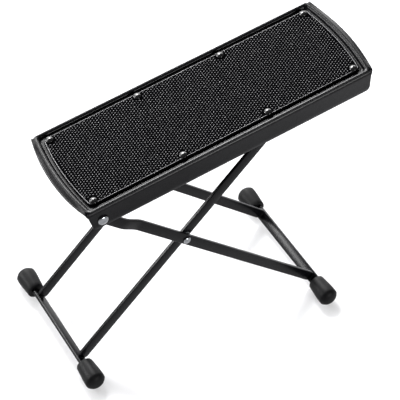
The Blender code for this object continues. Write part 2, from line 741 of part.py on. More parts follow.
def build_washers(frame, cross, zinc):
    """Spacing washers between the outer and inner legs, open round the rivet."""
    low = INNER_FRAME_WIDTH / 2 + FIT_GAP
    high = OUTER_FRAME_WIDTH / 2 - BAR_THICKNESS - FIT_GAP
    bore = CROSS_SHANK_RADIUS + FIT_GAP
    for side, sign in (("front", -1), ("rear", 1)):
        name = f"cross_washer_{side}"
        bm = bmesh.new()
        rows = []
        corners = ((low, bore), (low, WASHER_RADIUS), (high, WASHER_RADIUS), (high, bore))
        for place, radius in corners:
            row = []
            for i in range(PIN_SEGMENTS):
                angle = 2 * math.pi * i / PIN_SEGMENTS
                point = (radius * math.cos(angle), sign * place, radius * math.sin(angle))
                row.append(bm.verts.new(point))
            rows.append(row)
        bridge_rows(bm, rows + rows[:1])
        mesh = finish_mesh(bm, name, 40)
        make_object(name, mesh, cross, frame, zinc)


def floor_tilt(pivot, cross, outer_angle, inner_angle, outer_foot, inner_foot):
    """Tilt that puts both foot axes at one height, and that height below the tray."""
    outer_axis = pivot + Matrix.Rotation(outer_angle, 3, 'Y') @ outer_foot
    inner_axis = cross + Matrix.Rotation(-inner_angle, 3, 'Y') @ inner_foot
    tilt = math.atan2(inner_axis.z - outer_axis.z, outer_axis.x - inner_axis.x)
    level = Matrix.Rotation(-tilt, 3, 'Y') @ outer_axis
    return tilt, FOOT_RADIUS - level.z


def centre_on_floor(root, height):
    """Move the root so the middle of the whole outline stands over the origin."""
    root.location = (0.0, 0.0, height)
    bpy.context.view_layer.update()
    graph = bpy.context.evaluated_depsgraph_get()
    places = []
    for obj in bpy.data.objects:
        if obj.type != 'MESH' or obj.hide_render:
            continue
        shown = obj.evaluated_get(graph)
        for vert in shown.data.vertices:
            places.append((shown.matrix_world @ vert.co).x)
    root.location.x = -(min(places) + max(places)) / 2
    bpy.context.view_layer.update()


def main():
    clear_scene()
    paint = make_material("black_powder_coat")
    mat_rubber = make_material("black_mat_rubber")
    foot_rubber = make_material("black_foot_rubber")
    enamel = make_material("black_rivet_enamel")
    zinc = make_material("bright_zinc")
    dull_zinc = make_material("dull_zinc")

    pivot, cross, outer_angle, inner_angle = linkage()
    root = make_empty("tray_frame", (0.0, 0.0, 0.0), 0.0)
    outer = make_empty("outer_frame_axis", pivot, outer_angle, root)
    inner = make_empty("inner_frame_axis", cross, -inner_angle, root)
    cross_on_leg = Vector((OUTER_UPPER_LENGTH, 0.0, OUTER_JOG_RISE))

    build_tray(root, pivot, paint)
    build_mat(root, mat_rubber)
    build_mat_rivets(root, enamel)
    for side in ("front", "rear"):
        build_rack(root, side, paint)
    build_pivot_rivets(outer, zinc)
    outer_foot = build_outer_frame(outer, cross_on_leg, paint, foot_rubber)
    build_cross_rivets(outer, cross_on_leg, zinc)
    build_washers(outer, cross_on_leg, dull_zinc)
    inner_foot = build_inner_frame(inner, paint, foot_rubber)
    build_rod(inner, dull_zinc)

    tilt, height = floor_tilt(pivot, cross, outer_angle, inner_angle, outer_foot, inner_foot)
    root.rotation_euler = (0.0, -tilt, 0.0)
    centre_on_floor(root, height)


main()
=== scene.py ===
"""Folding guitar footrest: a powder-coated steel tray with a dotted rubber mat on two
crossed flat-bar leg frames with rubber feet.

Lengths are in metres. Each piece is drawn in the frame of the part that carries it, which
is the tray or a leg frame at rest, and is then moved to its place in the model.
"""

import json
import math

import bmesh
import bpy
from bpy.props import FloatProperty, FloatVectorProperty, PointerProperty
from mathutils import Matrix, Vector


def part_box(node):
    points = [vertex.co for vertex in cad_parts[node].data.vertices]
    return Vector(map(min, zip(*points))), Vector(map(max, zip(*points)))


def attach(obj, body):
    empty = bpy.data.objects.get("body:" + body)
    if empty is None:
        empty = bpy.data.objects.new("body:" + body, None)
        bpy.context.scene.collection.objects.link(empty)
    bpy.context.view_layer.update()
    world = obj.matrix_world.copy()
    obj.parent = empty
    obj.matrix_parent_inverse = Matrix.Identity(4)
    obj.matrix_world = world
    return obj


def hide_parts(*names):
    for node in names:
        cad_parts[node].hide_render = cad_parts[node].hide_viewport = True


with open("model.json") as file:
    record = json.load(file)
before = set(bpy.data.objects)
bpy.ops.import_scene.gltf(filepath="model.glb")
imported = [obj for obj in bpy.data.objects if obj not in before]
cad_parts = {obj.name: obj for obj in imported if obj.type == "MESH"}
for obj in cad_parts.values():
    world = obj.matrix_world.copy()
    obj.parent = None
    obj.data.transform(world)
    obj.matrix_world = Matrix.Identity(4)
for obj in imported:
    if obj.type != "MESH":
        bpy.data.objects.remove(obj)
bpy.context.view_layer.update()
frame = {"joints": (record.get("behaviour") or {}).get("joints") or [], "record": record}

bl_info = {
    "name": "Guitar Footrest",
    "version": (1, 0, 0),
    "blender": (4, 5, 0),
    "location": "3D View > Sidebar > Footrest",
    "description": "Builds a folding guitar footrest piece by piece on its packed frame",
    "category": "Object",
}

# Clearance between pieces that touch
FIT_GAP = 0.0003

# Tray
SHEET = 0.0014
TRAY_WIDTH = 0.0916
TRAY_LENGTH = 0.2472
TRAY_END_BULGE = 0.0061
TRAY_CORNER_RADIUS = 0.0012
SIDE_RIM_WIDTH = 0.0062
END_RIM_WIDTH = 0.0063
RECESS_END_BULGE = 0.0032
RECESS_CORNER_RADIUS = 0.0030
RECESS_DEPTH = 0.0025
FLANGE_DEPTH = 0.0201
FLANGE_CORNER_RADIUS = 0.0035
FLANGE_END_SLANT = 0.0024
RECESS_WIDTH = TRAY_WIDTH - 2 * SIDE_RIM_WIDTH
RECESS_LENGTH = TRAY_LENGTH - 2 * END_RIM_WIDTH
PANEL_UNDER_Z = -RECESS_DEPTH - SHEET

# Rubber mat and its rivets
MAT_THICKNESS = 0.0015
MAT_EDGE_RADIUS = MAT_THICKNESS / 5
MAT_EDGE_GAP = 0.0007
MAT_UNDER_Z = -RECESS_DEPTH + FIT_GAP
MAT_TOP_Z = MAT_UNDER_Z + MAT_THICKNESS
MAT_RIVET_END_MARGIN = 0.0048
MAT_RIVET_INNER_PITCH = 0.0734
MAT_RIVET_ROW_PITCH = 0.0716
MAT_RIVET_INNER_X = MAT_RIVET_INNER_PITCH / 2
MAT_RIVET_OUTER_X = RECESS_LENGTH / 2 - MAT_RIVET_END_MARGIN

# Flat bar of the leg frames
BAR_WIDTH = 0.0088
BAR_THICKNESS = 0.0029
LEG_FOOT_CORNER_RADIUS = 0.0030
OUTER_UPPER_LENGTH = 0.0978
OUTER_LOWER_LENGTH = 0.1664
OUTER_JOG_DEPTH = 0.0019
OUTER_JOG_RISE = 0.0018
OUTER_JOG_START = 0.0240
OUTER_JOG_LENGTH = 0.0200
OUTER_HIGH_Y = TRAY_WIDTH / 2 - SHEET - FIT_GAP - BAR_THICKNESS / 2
OUTER_LOW_Y = OUTER_HIGH_Y - OUTER_JOG_DEPTH
WASHER_RADIUS = 0.0050
WASHER_THICKNESS = 0.0012
WASHER_EDGE_BREAK = 0.00015
INNER_Y = OUTER_LOW_Y - BAR_THICKNESS - WASHER_THICKNESS - 2 * FIT_GAP
INNER_UPPER_LENGTH = 0.1195
INNER_LOWER_LENGTH = 0.1326

# Rivets, each as head radius, head height, shank radius, tail radius and tail height
MAT_RIVET = (0.0031, 0.0015, 0.0015, 0.0024, 0.0010)
PIVOT_RIVET = (0.0043, 0.0020, 0.0024, 0.0034, 0.0014)
CROSS_RIVET = (0.0032, OUTER_JOG_DEPTH - FIT_GAP, 0.0020, 0.0029, 0.0012)
# Their shapes, as shares: the height that stands straight below a dome, the radius on which
# the tail lies, and the height and radius of the head's lower edges
HEAD_WALL = 0.12
TAIL_WALL = 0.15
TAIL_EDGE = 0.96
HEAD_EDGES = ((0.04, 0.99), (0.00, 0.95))

# Locking rod and racks
ROD_RADIUS = 0.0025
ROD_END_RADIUS = 0.0019
ROD_EDGE_BREAK = 0.0003
RACK_FIRST_NOTCH = TRAY_LENGTH / 2 - 0.0781
RACK_NOTCH_PITCH = 0.0125
RACK_NOTCH_COUNT = 5
RACK_NOTCH_DEPTH = 0.0042
RACK_NOTCH_MOUTH = 0.0092
RACK_FLANGE_HEIGHT = 0.0062
RACK_END_LAND = 0.0030
RACK_SHEET = 0.0012
RACK_WEB_WIDTH = 0.0090
RACK_RIVET_GAP = 0.0010
RACK_EDGE_RADIUS = 0.0002
RACK_WEB_Y = MAT_RIVET_ROW_PITCH / 2 - MAT_RIVET[3] - RACK_RIVET_GAP
RACK_TOP_Z = PANEL_UNDER_Z - FIT_GAP
RACK_FLANGE_TOP_Z = RACK_TOP_Z - RACK_SHEET
RACK_TIP_Z = RACK_FLANGE_TOP_Z - RACK_FLANGE_HEIGHT

# Rubber feet
CROSSBAR_BARE = 0.0058
FOOT_LENGTH = 0.0233
FOOT_RADIUS = 0.0083
FOOT_NECK_RADIUS = 0.0070
FOOT_POCKET_DEPTH = 0.0165

# Rows of the pressed tray from the recess edge over the rim and back underneath. A row has
# shares of the rim width and of the recess depth, with one for its corners between them at
# an end. A side row underneath goes on with how far it lies inwards and downwards, and an
# end row with how far downwards, in thicknesses of the sheet.
SIDE_TOP_ROWS = (
    (0.000, 1.00), (0.320, 0.92), (0.430, 0.42), (0.520, 0.15), (0.620, 0.04),
    (0.850, 0.00), (0.890, 0.28), (0.865, 0.76), (1.000, 1.22), (1.000, 2.00),
)
SIDE_UNDER_ROWS = (
    (1.000, 2.00, 1.00, 0.00), (1.000, 1.28, 1.00, 0.00), (0.780, 0.00, 0.35, 1.30),
    (0.280, 0.88, -0.60, 0.80), (0.000, 1.00, -0.50, 1.00),
)
END_TOP_ROWS = (
    (0.000, 0.000, 1.00, 0.00), (0.120, 0.160, 0.97, 0.00), (0.190, 0.260, 0.45, 0.00),
    (0.260, 0.350, 0.12, 0.00), (0.370, 0.470, 0.00, 0.00), (0.470, 0.570, 0.01, 0.00),
    (0.560, 0.660, 0.10, 0.00), (0.760, 0.840, 0.43, 0.00), (1.000, 1.000, 0.85, 0.00),
    (1.000, 1.000, 0.85, 1.00),
)
END_UNDER_ROWS = (
    (0.830, 1.000, 0.56, 1.00), (0.600, 1.000, 0.17, 1.00), (0.420, 0.820, 0.00, 1.00),
    (0.200, 0.400, 0.65, 1.00), (0.000, 0.000, 1.00, 1.00),
)
# Share of the end rim at its crest, beyond which the end sags between its corners, and the
# power by which the sag ends towards them
END_CREST_SHARE = 0.370
END_SAG_POWER = 4

# Steps along curves and corners, and segments round what is turned
CORNER_STEPS = 10
END_STEPS = 48
TOP_ROW_PARTS = 4
UNDER_ROW_PARTS = 3
MAT_EDGE_STEPS = 4
BORDER_STEPS = 6
HEAD_STEPS = 8
TAIL_STEPS = 5
LEG_TOP_STEPS = 14
LEG_FOOT_STEPS = 8
JOG_STEPS = 16
NOTCH_STEPS = 8
COVE_STEPS = 12
DOT_SIDES = 8
WELD_DROP_SEGMENTS = 12
WELD_DROP_RINGS = 8
RIVET_SEGMENTS = 28
ROD_SEGMENTS = 32
WASHER_SEGMENTS = 40
FOOT_SEGMENTS = 64
FLOOR_SEGMENTS = 96

# Rubber foot from its open end out, as shares of its length and of its bulge or radius
FOOT_SIDE_SHARES = (
    (0.000, -0.55), (0.008, -0.22), (0.030, 0.00), (0.16, 0.24), (0.30, 0.48), (0.43, 0.70),
    (0.55, 0.87), (0.64, 0.97), (0.72, 1.00), (0.79, 0.98), (0.84, 0.90),
)
FOOT_TIP_SHARES = (
    (0.89, 0.88), (0.93, 0.78), (0.96, 0.66), (0.982, 0.52), (0.994, 0.36), (1.00, 0.20),
)


# Places of the tray and of both leg frames

def joint_place(name):
    """Where the record puts a joint."""
    for joint in frame["joints"]:
        if joint["name"] == name:
            return Vector(joint["pos_m"])
    raise RuntimeError(f"the frame has no joint {name}")


def middle_of(node):
    """The middle of a node's box at rest."""
    low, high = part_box(node)
    return (low + high) / 2


def tray_matrix():
    """The tray's place: its slope and height are those of the mat's top face."""
    for mount in frame["record"]["mounts"]:
        if mount["name"] == "foot_platform":
            normal = Vector(mount["axis"])
            origin = Vector(mount["pos_m"]) - normal * MAT_TOP_Z
            slope = math.atan2(-normal.x, normal.z)
            return Matrix.Translation(origin) @ Matrix.Rotation(-slope, 4, 'Y')
    raise RuntimeError("the frame has no mount foot_platform")


def leg_matrix(origin, toward, turn=0.0):
    """A leg frame with X from origin toward another point, less a small turn."""
    along = toward - origin
    angle = math.atan2(along.z, along.x) - turn
    return Matrix.Translation(origin) @ Matrix.Rotation(-angle, 4, 'Y')


PIVOT = joint_place("frame_fold")
CROSS = joint_place("leg_cross")
TRAY_PLACE = tray_matrix()
OUTER_PLACE = leg_matrix(PIVOT, CROSS, math.atan2(OUTER_JOG_RISE, OUTER_UPPER_LENGTH))
INNER_PLACE = leg_matrix(CROSS, middle_of("locking_rod"))
OUTER_LENGTH = OUTER_UPPER_LENGTH + OUTER_LOWER_LENGTH
OUTER_BAR = Vector((OUTER_LENGTH + BAR_THICKNESS / 2, 0.0, OUTER_JOG_RISE))
INNER_BAR = Vector((-INNER_LOWER_LENGTH - BAR_THICKNESS / 2, 0.0, 0.0))
# Each leg frame's name, place, crossbar centre, leg distance and direction to the crossbar
FRAMES = (("outer", OUTER_PLACE, OUTER_BAR, OUTER_LOW_Y, 1),
          ("inner", INNER_PLACE, INNER_BAR, INNER_Y, -1))
SIDES = (("front", -1), ("rear", 1))


# Colours and nodes

def linear(text):
    """Linear colour from an sRGB hex value."""
    channels = []
    for start in (0, 2, 4):
        value = int(text[start:start + 2], 16) / 255
        low = value / 12.92
        channels.append(low if value <= 0.04045 else ((value + 0.055) / 1.055) ** 2.4)
    return tuple(channels)


def add_node(tree, kind, settings=None, inputs=None):
    """Add a node with its settings, and set its inputs or link them to other sockets."""
    node = tree.nodes.new(kind)
    for name, value in (settings or {}).items():
        setattr(node, name, value)
    for name, value in (inputs or {}).items():
        if isinstance(value, bpy.types.NodeSocket):
            tree.links.new(value, node.inputs[name])
        else:
            node.inputs[name].default_value = value
    return node


def new_material(name):
    """A material with its tree, its main shader and Object coordinates."""
    material = bpy.data.materials.new(name)
    material.use_nodes = True
    tree = material.node_tree
    place = add_node(tree, 'ShaderNodeTexCoord').outputs["Object"]
    return material, tree, tree.nodes["Principled BSDF"], place


def pattern(tree, place, grain, low=0.0, high=1.0, span=(0.3, 0.7)):
    """A noise, as (size in metres, detail, roughness), whose span becomes low to high. Its
    size is that of the real marks, or 0.3 mm where those are too fine to show."""
    size, detail, roughness = grain
    spots = add_node(tree, 'ShaderNodeTexNoise', inputs={
        "Vector": place, "Scale": 1.0 / size, "Detail": detail, "Roughness": roughness})
    numbers = add_node(tree, 'ShaderNodeMapRange', inputs={
        "Value": spots.outputs["Fac"], "From Min": span[0], "From Max": span[1],
        "To Min": low, "To Max": high})
    return numbers.outputs["Result"]


def dress(tree, shader, tint, dark, light, roughness, height, depth):
    """Link a finish's two colours, its roughness and its relief to the shader."""
    mixed = add_node(tree, 'ShaderNodeMix', {"data_type": 'RGBA'}, {
        0: tint, 6: (*dark, 1.0), 7: (*light, 1.0)})
    relief = add_node(tree, 'ShaderNodeBump', inputs={"Height": height, "Distance": depth})
    for name, socket in (("Base Color", mixed.outputs[2]), ("Roughness", roughness),
                         ("Normal", relief.outputs["Normal"])):
        tree.links.new(socket, shader.inputs[name])


def grained_finish(name, dark, light, cloud, grain, relief, roughness, depth,
                   specular=0.5, metallic=0.0, grain_share=0.0, stretch=(1.0, 1.0, 1.0)):
    """A finish whose cloud is in its colour, its grain in its gloss and its relief in its
    surface, with a share of the grain there too. All three are noises for pattern."""
    material, tree, shader, place = new_material(name)
    shader.inputs["Specular IOR Level"].default_value = specular
    shader.inputs["Metallic"].default_value = metallic
    drawn = add_node(tree, 'ShaderNodeMapping', inputs={"Vector": place, "Scale": stretch})
    grains, bumps = [pattern(tree, drawn.outputs["Vector"], noise, span=(0.0, 1.0))
                     for noise in (grain, relief)]
    height = add_node(tree, 'ShaderNodeMath', {"operation": 'MULTIPLY_ADD'}, {
        0: grains, 1: grain_share, 2: bumps})
    gloss = pattern(tree, drawn.outputs["Vector"], grain, *roughness)
    dress(tree, shader, pattern(tree, place, cloud), dark, light, gloss,
          height.outputs[0], depth)
    return material


def tinted(base, share, lift=0.0):
    """A colour with its channels times a share, plus a lift."""
    return [channel * share + lift for channel in base]


# Materials

def powder_coated_steel():
    """Pressed steel, sprayed and baked: satin black with a fine orange peel."""
    base = bpy.context.scene.footrest_colours.powder_coat
    return grained_finish(
        "powder_coated_steel", base, tinted(base, 1.35, 0.0012), cloud=(0.018, 3.0, 0.5),
        grain=(0.00035, 2.0, 0.6), relief=(0.0011, 1.0, 0.5), roughness=(0.20, 0.28),
        depth=0.00003, specular=0.09, grain_share=0.35)


def moulded_mat_rubber():
    """Nitrile rubber sheet from a press mould: dull black ground and glossy dots, their tops
    painted paler as a painted highlight. Dots and ground are told apart by their height in
    the tray's recess."""
    colours = bpy.context.scene.footrest_colours
    material, tree, shader, place = new_material("moulded_mat_rubber")
    flat = add_node(tree, 'ShaderNodeMapping', {"vector_type": 'TEXTURE'}, {
        "Vector": place, "Location": TRAY_PLACE.to_translation(),
        "Rotation": TRAY_PLACE.to_euler()})
    height = add_node(tree, 'ShaderNodeSeparateXYZ', inputs={0: flat.outputs["Vector"]})
    dot = add_node(tree, 'ShaderNodeMapRange', inputs={
        "Value": height.outputs[2], "From Min": MAT_TOP_Z + FIT_GAP / 3,
        "From Max": MAT_TOP_Z + FIT_GAP}).outputs["Result"]
    # The dots' tops are mixed towards a paler colour as a painted highlight, stronger in some
    # patches than in others
    highlight_patches = pattern(tree, place, (0.012, 3.0, 0.5), 0.6, 1.0)
    dot_highlight = add_node(tree, 'ShaderNodeMath', {"operation": 'MULTIPLY'}, {0: dot, 1: highlight_patches})
    shine = add_node(tree, 'ShaderNodeMapRange', inputs={
        "Value": dot, "To Min": 0.0015, "To Max": 0.43})
    tree.links.new(shine.outputs["Result"], shader.inputs["Specular IOR Level"])
    grain = (0.0006, 2.0, 0.6)
    smoother = -0.46
    gloss = add_node(tree, 'ShaderNodeMath', {"operation": 'MULTIPLY_ADD'}, {
        0: dot, 1: smoother, 2: pattern(tree, place, grain, 0.66, 0.80)})
    dress(tree, shader, dot_highlight.outputs[0], colours.mat_rubber, colours.mat_dot_highlight,
          gloss.outputs[0], pattern(tree, place, grain, span=(0.0, 1.0)), 0.00004)
    return material


def moulded_foot_rubber():
    """Soft rubber cap from an injection mould: matt black with a fine grain."""
    base = bpy.context.scene.footrest_colours.foot_rubber
    grain = (0.0005, 2.0, 0.6)
    return grained_finish(
        "moulded_foot_rubber", base, tinted(base, 1.6, 0.002), cloud=(0.006, 3.0, 0.5),
        grain=grain, relief=grain, roughness=(0.40, 0.54), depth=0.00003, specular=0.08)


def stoved_enamel():
    """Cold-headed steel rivets in stoving enamel: wet black gloss, a little wavy."""
    base = bpy.context.scene.footrest_colours.rivet_enamel
    specks = (0.0004, 2.0, 0.6)
    return grained_finish(
        "stoved_enamel", base, tinted(base, 1.6, 0.001), cloud=specks, grain=specks,
        relief=(0.0016, 1.0, 0.5), roughness=(0.10, 0.20), depth=0.00004, specular=0.4)


def bright_zinc_plate():
    """Cold-headed steel, tumbled and bright zinc plated: a soft mirror with fine pits."""
    base = bpy.context.scene.footrest_colours.bright_zinc
    haze = (0.0015, 2.0, 0.5)
    return grained_finish(
        "bright_zinc_plate", tinted(base, 0.82), base, cloud=haze, grain=haze,
        relief=(0.0004, 3.0, 0.6), roughness=(0.10, 0.22), depth=0.000012, metallic=1.0)


def drawn_zinc_plate():
    """Drawn steel rod and punched washers, barrel zinc plated: grey with soft lines along
    the rod's length, which is Y."""
    base = bpy.context.scene.footrest_colours.plain_zinc
    lines = (0.0003, 3.0, 0.6)
    return grained_finish(
        "drawn_zinc_plate", tinted(base, 0.75), base, cloud=(0.003, 2.0, 0.5), grain=lines,
        relief=lines, roughness=(0.26, 0.44), depth=0.00001, metallic=1.0,
        stretch=(1.0, 0.05, 1.0))


MATERIALS = {
    "black_powder_coat": powder_coated_steel,
    "black_mat_rubber": moulded_mat_rubber,
    "black_foot_rubber": moulded_foot_rubber,
    "black_rivet_enamel": stoved_enamel,
    "bright_zinc": bright_zinc_plate,
    "dull_zinc": drawn_zinc_plate,
}


def material_for(slot):
    """The material of one of the record's slots, made when it is first asked for."""
    name = MATERIALS[slot].__name__
    return bpy.data.materials.get(name) or MATERIALS[slot]()


# Mesh helpers

def linked(name, data):
    """A new object in the scene."""
    obj = bpy.data.objects.new(name, data)
    bpy.context.scene.collection.objects.link(obj)
    return obj


def new_object(name, bm):
    """A closed mesh as an object, with its faces pointing outwards."""
    mesh = bpy.data.meshes.new(name)
    bmesh.ops.recalc_face_normals(bm, faces=bm.faces)
    bm.to_mesh(mesh)
    bm.free()
    return linked(name, mesh)


def settle(obj):
    """Turn an object's modifiers into its plain mesh."""
    graph = bpy.context.evaluated_depsgraph_get()
    mesh = bpy.data.meshes.new_from_object(obj.evaluated_get(graph))
    obj.modifiers.clear()
    obj.data = mesh
    return obj


def round_edges(obj, width, segments=3, angle=40):
    """Round the edges that turn by more than an angle in degrees."""
    bevel = obj.modifiers.new("rounded edges", 'BEVEL')
    bevel.width = width
    bevel.segments = segments
    bevel.limit_method = 'ANGLE'
    bevel.angle_limit = math.radians(angle)
    bevel.use_clamp_overlap = False
    return settle(obj)


def finish_piece(obj, place, body, slot, nodes, smooth_angle=35):
    """Put a piece in its place on its body, with its finish, for the nodes it stands for."""
    obj.data.transform(place)
    obj.data.shade_smooth()
    obj.data.set_sharp_from_angle(angle=math.radians(smooth_angle))
    obj.data.materials.clear()
    obj.data.materials.append(material_for(slot))
    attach(obj, body)
    if nodes:
        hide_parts(*nodes)


def skin(bm, rings, ends=2):
    """Faces between rings of as many corners each, and over the first one or two ends."""
    rows = [[bm.verts.new(point) for point in ring] for ring in rings]
    count = len(rows[0])
    for near, far in zip(rows, rows[1:]):
        for i in range(count):
            j = (i + 1) % count
            bm.faces.new((near[i], near[j], far[j], far[i]))
    for row in (rows[0], rows[-1])[:ends]:
        bm.faces.new(row)
    return rows


def around(half_x, half_y):
    """The four corners of a rectangle about zero."""
    return ((half_x, half_y), (half_x, -half_y), (-half_x, -half_y), (-half_x, half_y))


def quarter(steps, first=0):
    """Sine and cosine at even steps of a quarter turn, from the first step on."""
    for step in range(first, steps + 1):
        angle = math.pi / 2 * step / steps
        yield math.sin(angle), math.cos(angle)


def turned_rings(profile, segments, ridge=0.0):
    """Rings about Y from (place, radius) pairs, with a fine ridge along the mould's parting."""
    rings = []
    for place, radius in profile:
        ring = []
        for i in range(segments):
            angle = 2 * math.pi * i / segments
            out = radius + (ridge if i % (segments // 2) == 0 else 0.0)
            ring.append(Vector((out * math.cos(angle), place, out * math.sin(angle))))
        rings.append(ring)
    return rings


def turned(name, profile, segments, ridge=0.0):
    """A solid turned about Y from (place, radius) pairs."""
    bm = bmesh.new()
    skin(bm, turned_rings(profile, segments, ridge))
    return new_object(name, bm)


def blend(low, high, share):
    """The value at a share of the way from low to high."""
    return low + (high - low) * share


def refine(rows, parts):
    """A smooth run of rows through the given ones, with parts steps between each two."""
    fine = []
    for i in range(len(rows) - 1):
        before = rows[max(i - 1, 0)]
        after = rows[min(i + 2, len(rows) - 1)]
        for step in range(parts):
            t = step / parts
            row = []
            for a, b, c, d in zip(before, rows[i], rows[i + 1], after):
                curve = 2 * b + (c - a) * t + (2 * a - 5 * b + 4 * c - d) * t ** 2
                curve += (3 * b - a - 3 * c + d) * t ** 3
                row.append(curve / 2)
            fine.append(tuple(row))
    fine.append(rows[-1])
    return fine


# Tray

def end_outline(half_width, corner_x, bulge, radius):
    """One curved end from the back side round to the front side, with end weights."""
    points = []
    straight_y = half_width - radius

    def end_x(y):
        return bulge * (1 - (y / half_width) ** 2)

    for step, (sine, cosine) in enumerate(quarter(CORNER_STEPS)):
        y = straight_y + radius * cosine
        x = corner_x - radius + radius * sine + end_x(y)
        points.append((x, y, step / CORNER_STEPS))
    for step in range(1, END_STEPS // 2 + 1):
        y = straight_y * (1 - 2 * step / END_STEPS)
        points.append((corner_x + end_x(y), y, 1.0))
    front = [(x, -y, weight) for x, y, weight in reversed(points[:-1])]
    return points + front


def full_outline(half_width, corner_x, bulge, radius):
    """The right end and then the left end, each as (x, y, end weight)."""
    right = end_outline(half_width, corner_x, bulge, radius)
    left = [(-x, y, weight) for x, y, weight in reversed(right)]
    return right + left


def tray_row(side, end):
    """One row round the tray; beyond its crest the flared end sags between the corners."""
    side_share, side_drop, side_in, side_down = side
    end_share, corner_share, end_drop, end_down = end
    half_width = blend(RECESS_WIDTH, TRAY_WIDTH, side_share) / 2 - side_in * SHEET
    corner_x = blend(RECESS_LENGTH, TRAY_LENGTH, corner_share) / 2
    bulge = blend(RECESS_END_BULGE, TRAY_END_BULGE, end_share)
    radius = blend(RECESS_CORNER_RADIUS, TRAY_CORNER_RADIUS, corner_share)
    side_z = -side_drop * RECESS_DEPTH - side_down * SHEET
    points = []
    for x, y, weight in full_outline(half_width, corner_x, bulge, radius):
        sag = 1.0
        if end_share > END_CREST_SHARE:
            sag = 1 - (abs(y) / half_width) ** END_SAG_POWER
        end_z = -end_drop * RECESS_DEPTH * sag - end_down * SHEET
        points.append(Vector((x, y, blend(side_z, end_z, weight))))
    return points


def add_flange(bm, outer, inner):
    """Draw the strip under one side of the rim down into its flange."""
    near = [outer[0], outer[1], inner[1], inner[0]]
    tops = [vert.co.copy() for vert in near]
    bottom = -FLANGE_DEPTH
    height = tops[0].z - bottom
    for sine, cosine in quarter(CORNER_STEPS):
        z = bottom + FLANGE_CORNER_RADIUS * (1 - sine)
        inset = FLANGE_CORNER_RADIUS * (1 - cosine)
        inset += FLANGE_END_SLANT * (tops[0].z - z) / height
        ring = [bm.verts.new((top.x - math.copysign(inset, top.x), top.y, z)) for top in tops]
        for i in range(len(near)):
            j = (i + 1) % len(near)
            bm.faces.new((near[i], near[j], ring[j], ring[i]))
        near = ring
    bm.faces.new(near)


def tray_shell():
    """The pressed tray with its rim bead and side flanges."""
    side_rows = [(*row, 0.0, 0.0) for row in refine(SIDE_TOP_ROWS, TOP_ROW_PARTS)]
    under = len(side_rows)
    side_rows += refine(SIDE_UNDER_ROWS, UNDER_ROW_PARTS)
    end_rows = refine(END_TOP_ROWS, TOP_ROW_PARTS) + refine(END_UNDER_ROWS, UNDER_ROW_PARTS)
    bm = bmesh.new()
    rows = []
    for side, end in zip(side_rows, end_rows):
        rows.append([bm.verts.new(point) for point in tray_row(side, end)])
    count = len(rows[0])
    strips = {(count // 2 - 1, count // 2), (count - 1, 0)}
    for row, (near, far) in enumerate(zip(rows, rows[1:])):
        for i in range(count):
            j = (i + 1) % count
            if row == under - 1 and (i, j) in strips:
                add_flange(bm, (near[i], near[j]), (far[i], far[j]))
                continue
            bm.faces.new((near[i], near[j], far[j], far[i]))
    bm.faces.new(rows[0])
    bm.faces.new(rows[-1])
    return new_object("tray_shell", bm)


# Mat

def mat_sheet(border_width, border_height):
    """The mat's sheet with a rounded upper edge and a low moulded border along it."""
    half_width = RECESS_WIDTH / 2 - MAT_EDGE_GAP
    corner_x = RECESS_LENGTH / 2 - MAT_EDGE_GAP
    edge = MAT_EDGE_RADIUS
    steps = [(MAT_UNDER_Z, 0.0)]
    for sine, cosine in quarter(MAT_EDGE_STEPS):
        steps.append((MAT_TOP_Z - edge * (1 - sine), edge * (1 - cosine)))
    for step in range(1, BORDER_STEPS + 1):
        angle = math.pi * step / BORDER_STEPS
        inset = edge + border_width * (1 - math.cos(angle)) / 2
        steps.append((MAT_TOP_Z + border_height * math.sin(angle), inset))
    rings = []
    for z, inset in steps:
        outline = full_outline(
            half_width - inset, corner_x - inset, RECESS_END_BULGE, RECESS_CORNER_RADIUS)
        rings.append([Vector((x, y, z)) for x, y, _ in outline])
    bm = bmesh.new()
    skin(bm, rings)
    return new_object("mat_sheet", bm)


def new_group(name, sockets):
    """A geometry node tree with a mesh in and out, a material and named inputs."""
    tree = bpy.data.node_groups.new(name, 'GeometryNodeTree')
    for label, kind in (("Geometry", "Geometry"), *sockets, ("Material", "Material")):
        tree.interface.new_socket(label, in_out='INPUT', socket_type="NodeSocket" + kind)
    tree.interface.new_socket("Geometry", in_out='OUTPUT', socket_type="NodeSocketGeometry")
    return tree, add_node(tree, 'NodeGroupInput').outputs


def use_group(obj, tree, values):
    """Run a node tree on an object and keep the plain mesh that it makes."""
    modifier = obj.modifiers.new(tree.name, 'NODES')
    modifier.node_group = tree
    for item in tree.interface.items_tree:
        if item.item_type == 'SOCKET' and item.in_out == 'INPUT' and item.name in values:
            modifier[item.identifier] = values[item.name]
    return settle(obj)


def end_of_group(tree, mesh, material):
    """Make a tree's instances real, give them their material and send them out."""
    real = add_node(tree, 'GeometryNodeRealizeInstances', inputs={"Geometry": mesh})
    dressed = add_node(tree, 'GeometryNodeSetMaterial', inputs={
        "Geometry": real.outputs["Geometry"], "Material": material})
    tree.links.new(dressed.outputs["Geometry"], add_node(tree, 'NodeGroupOutput').inputs[0])


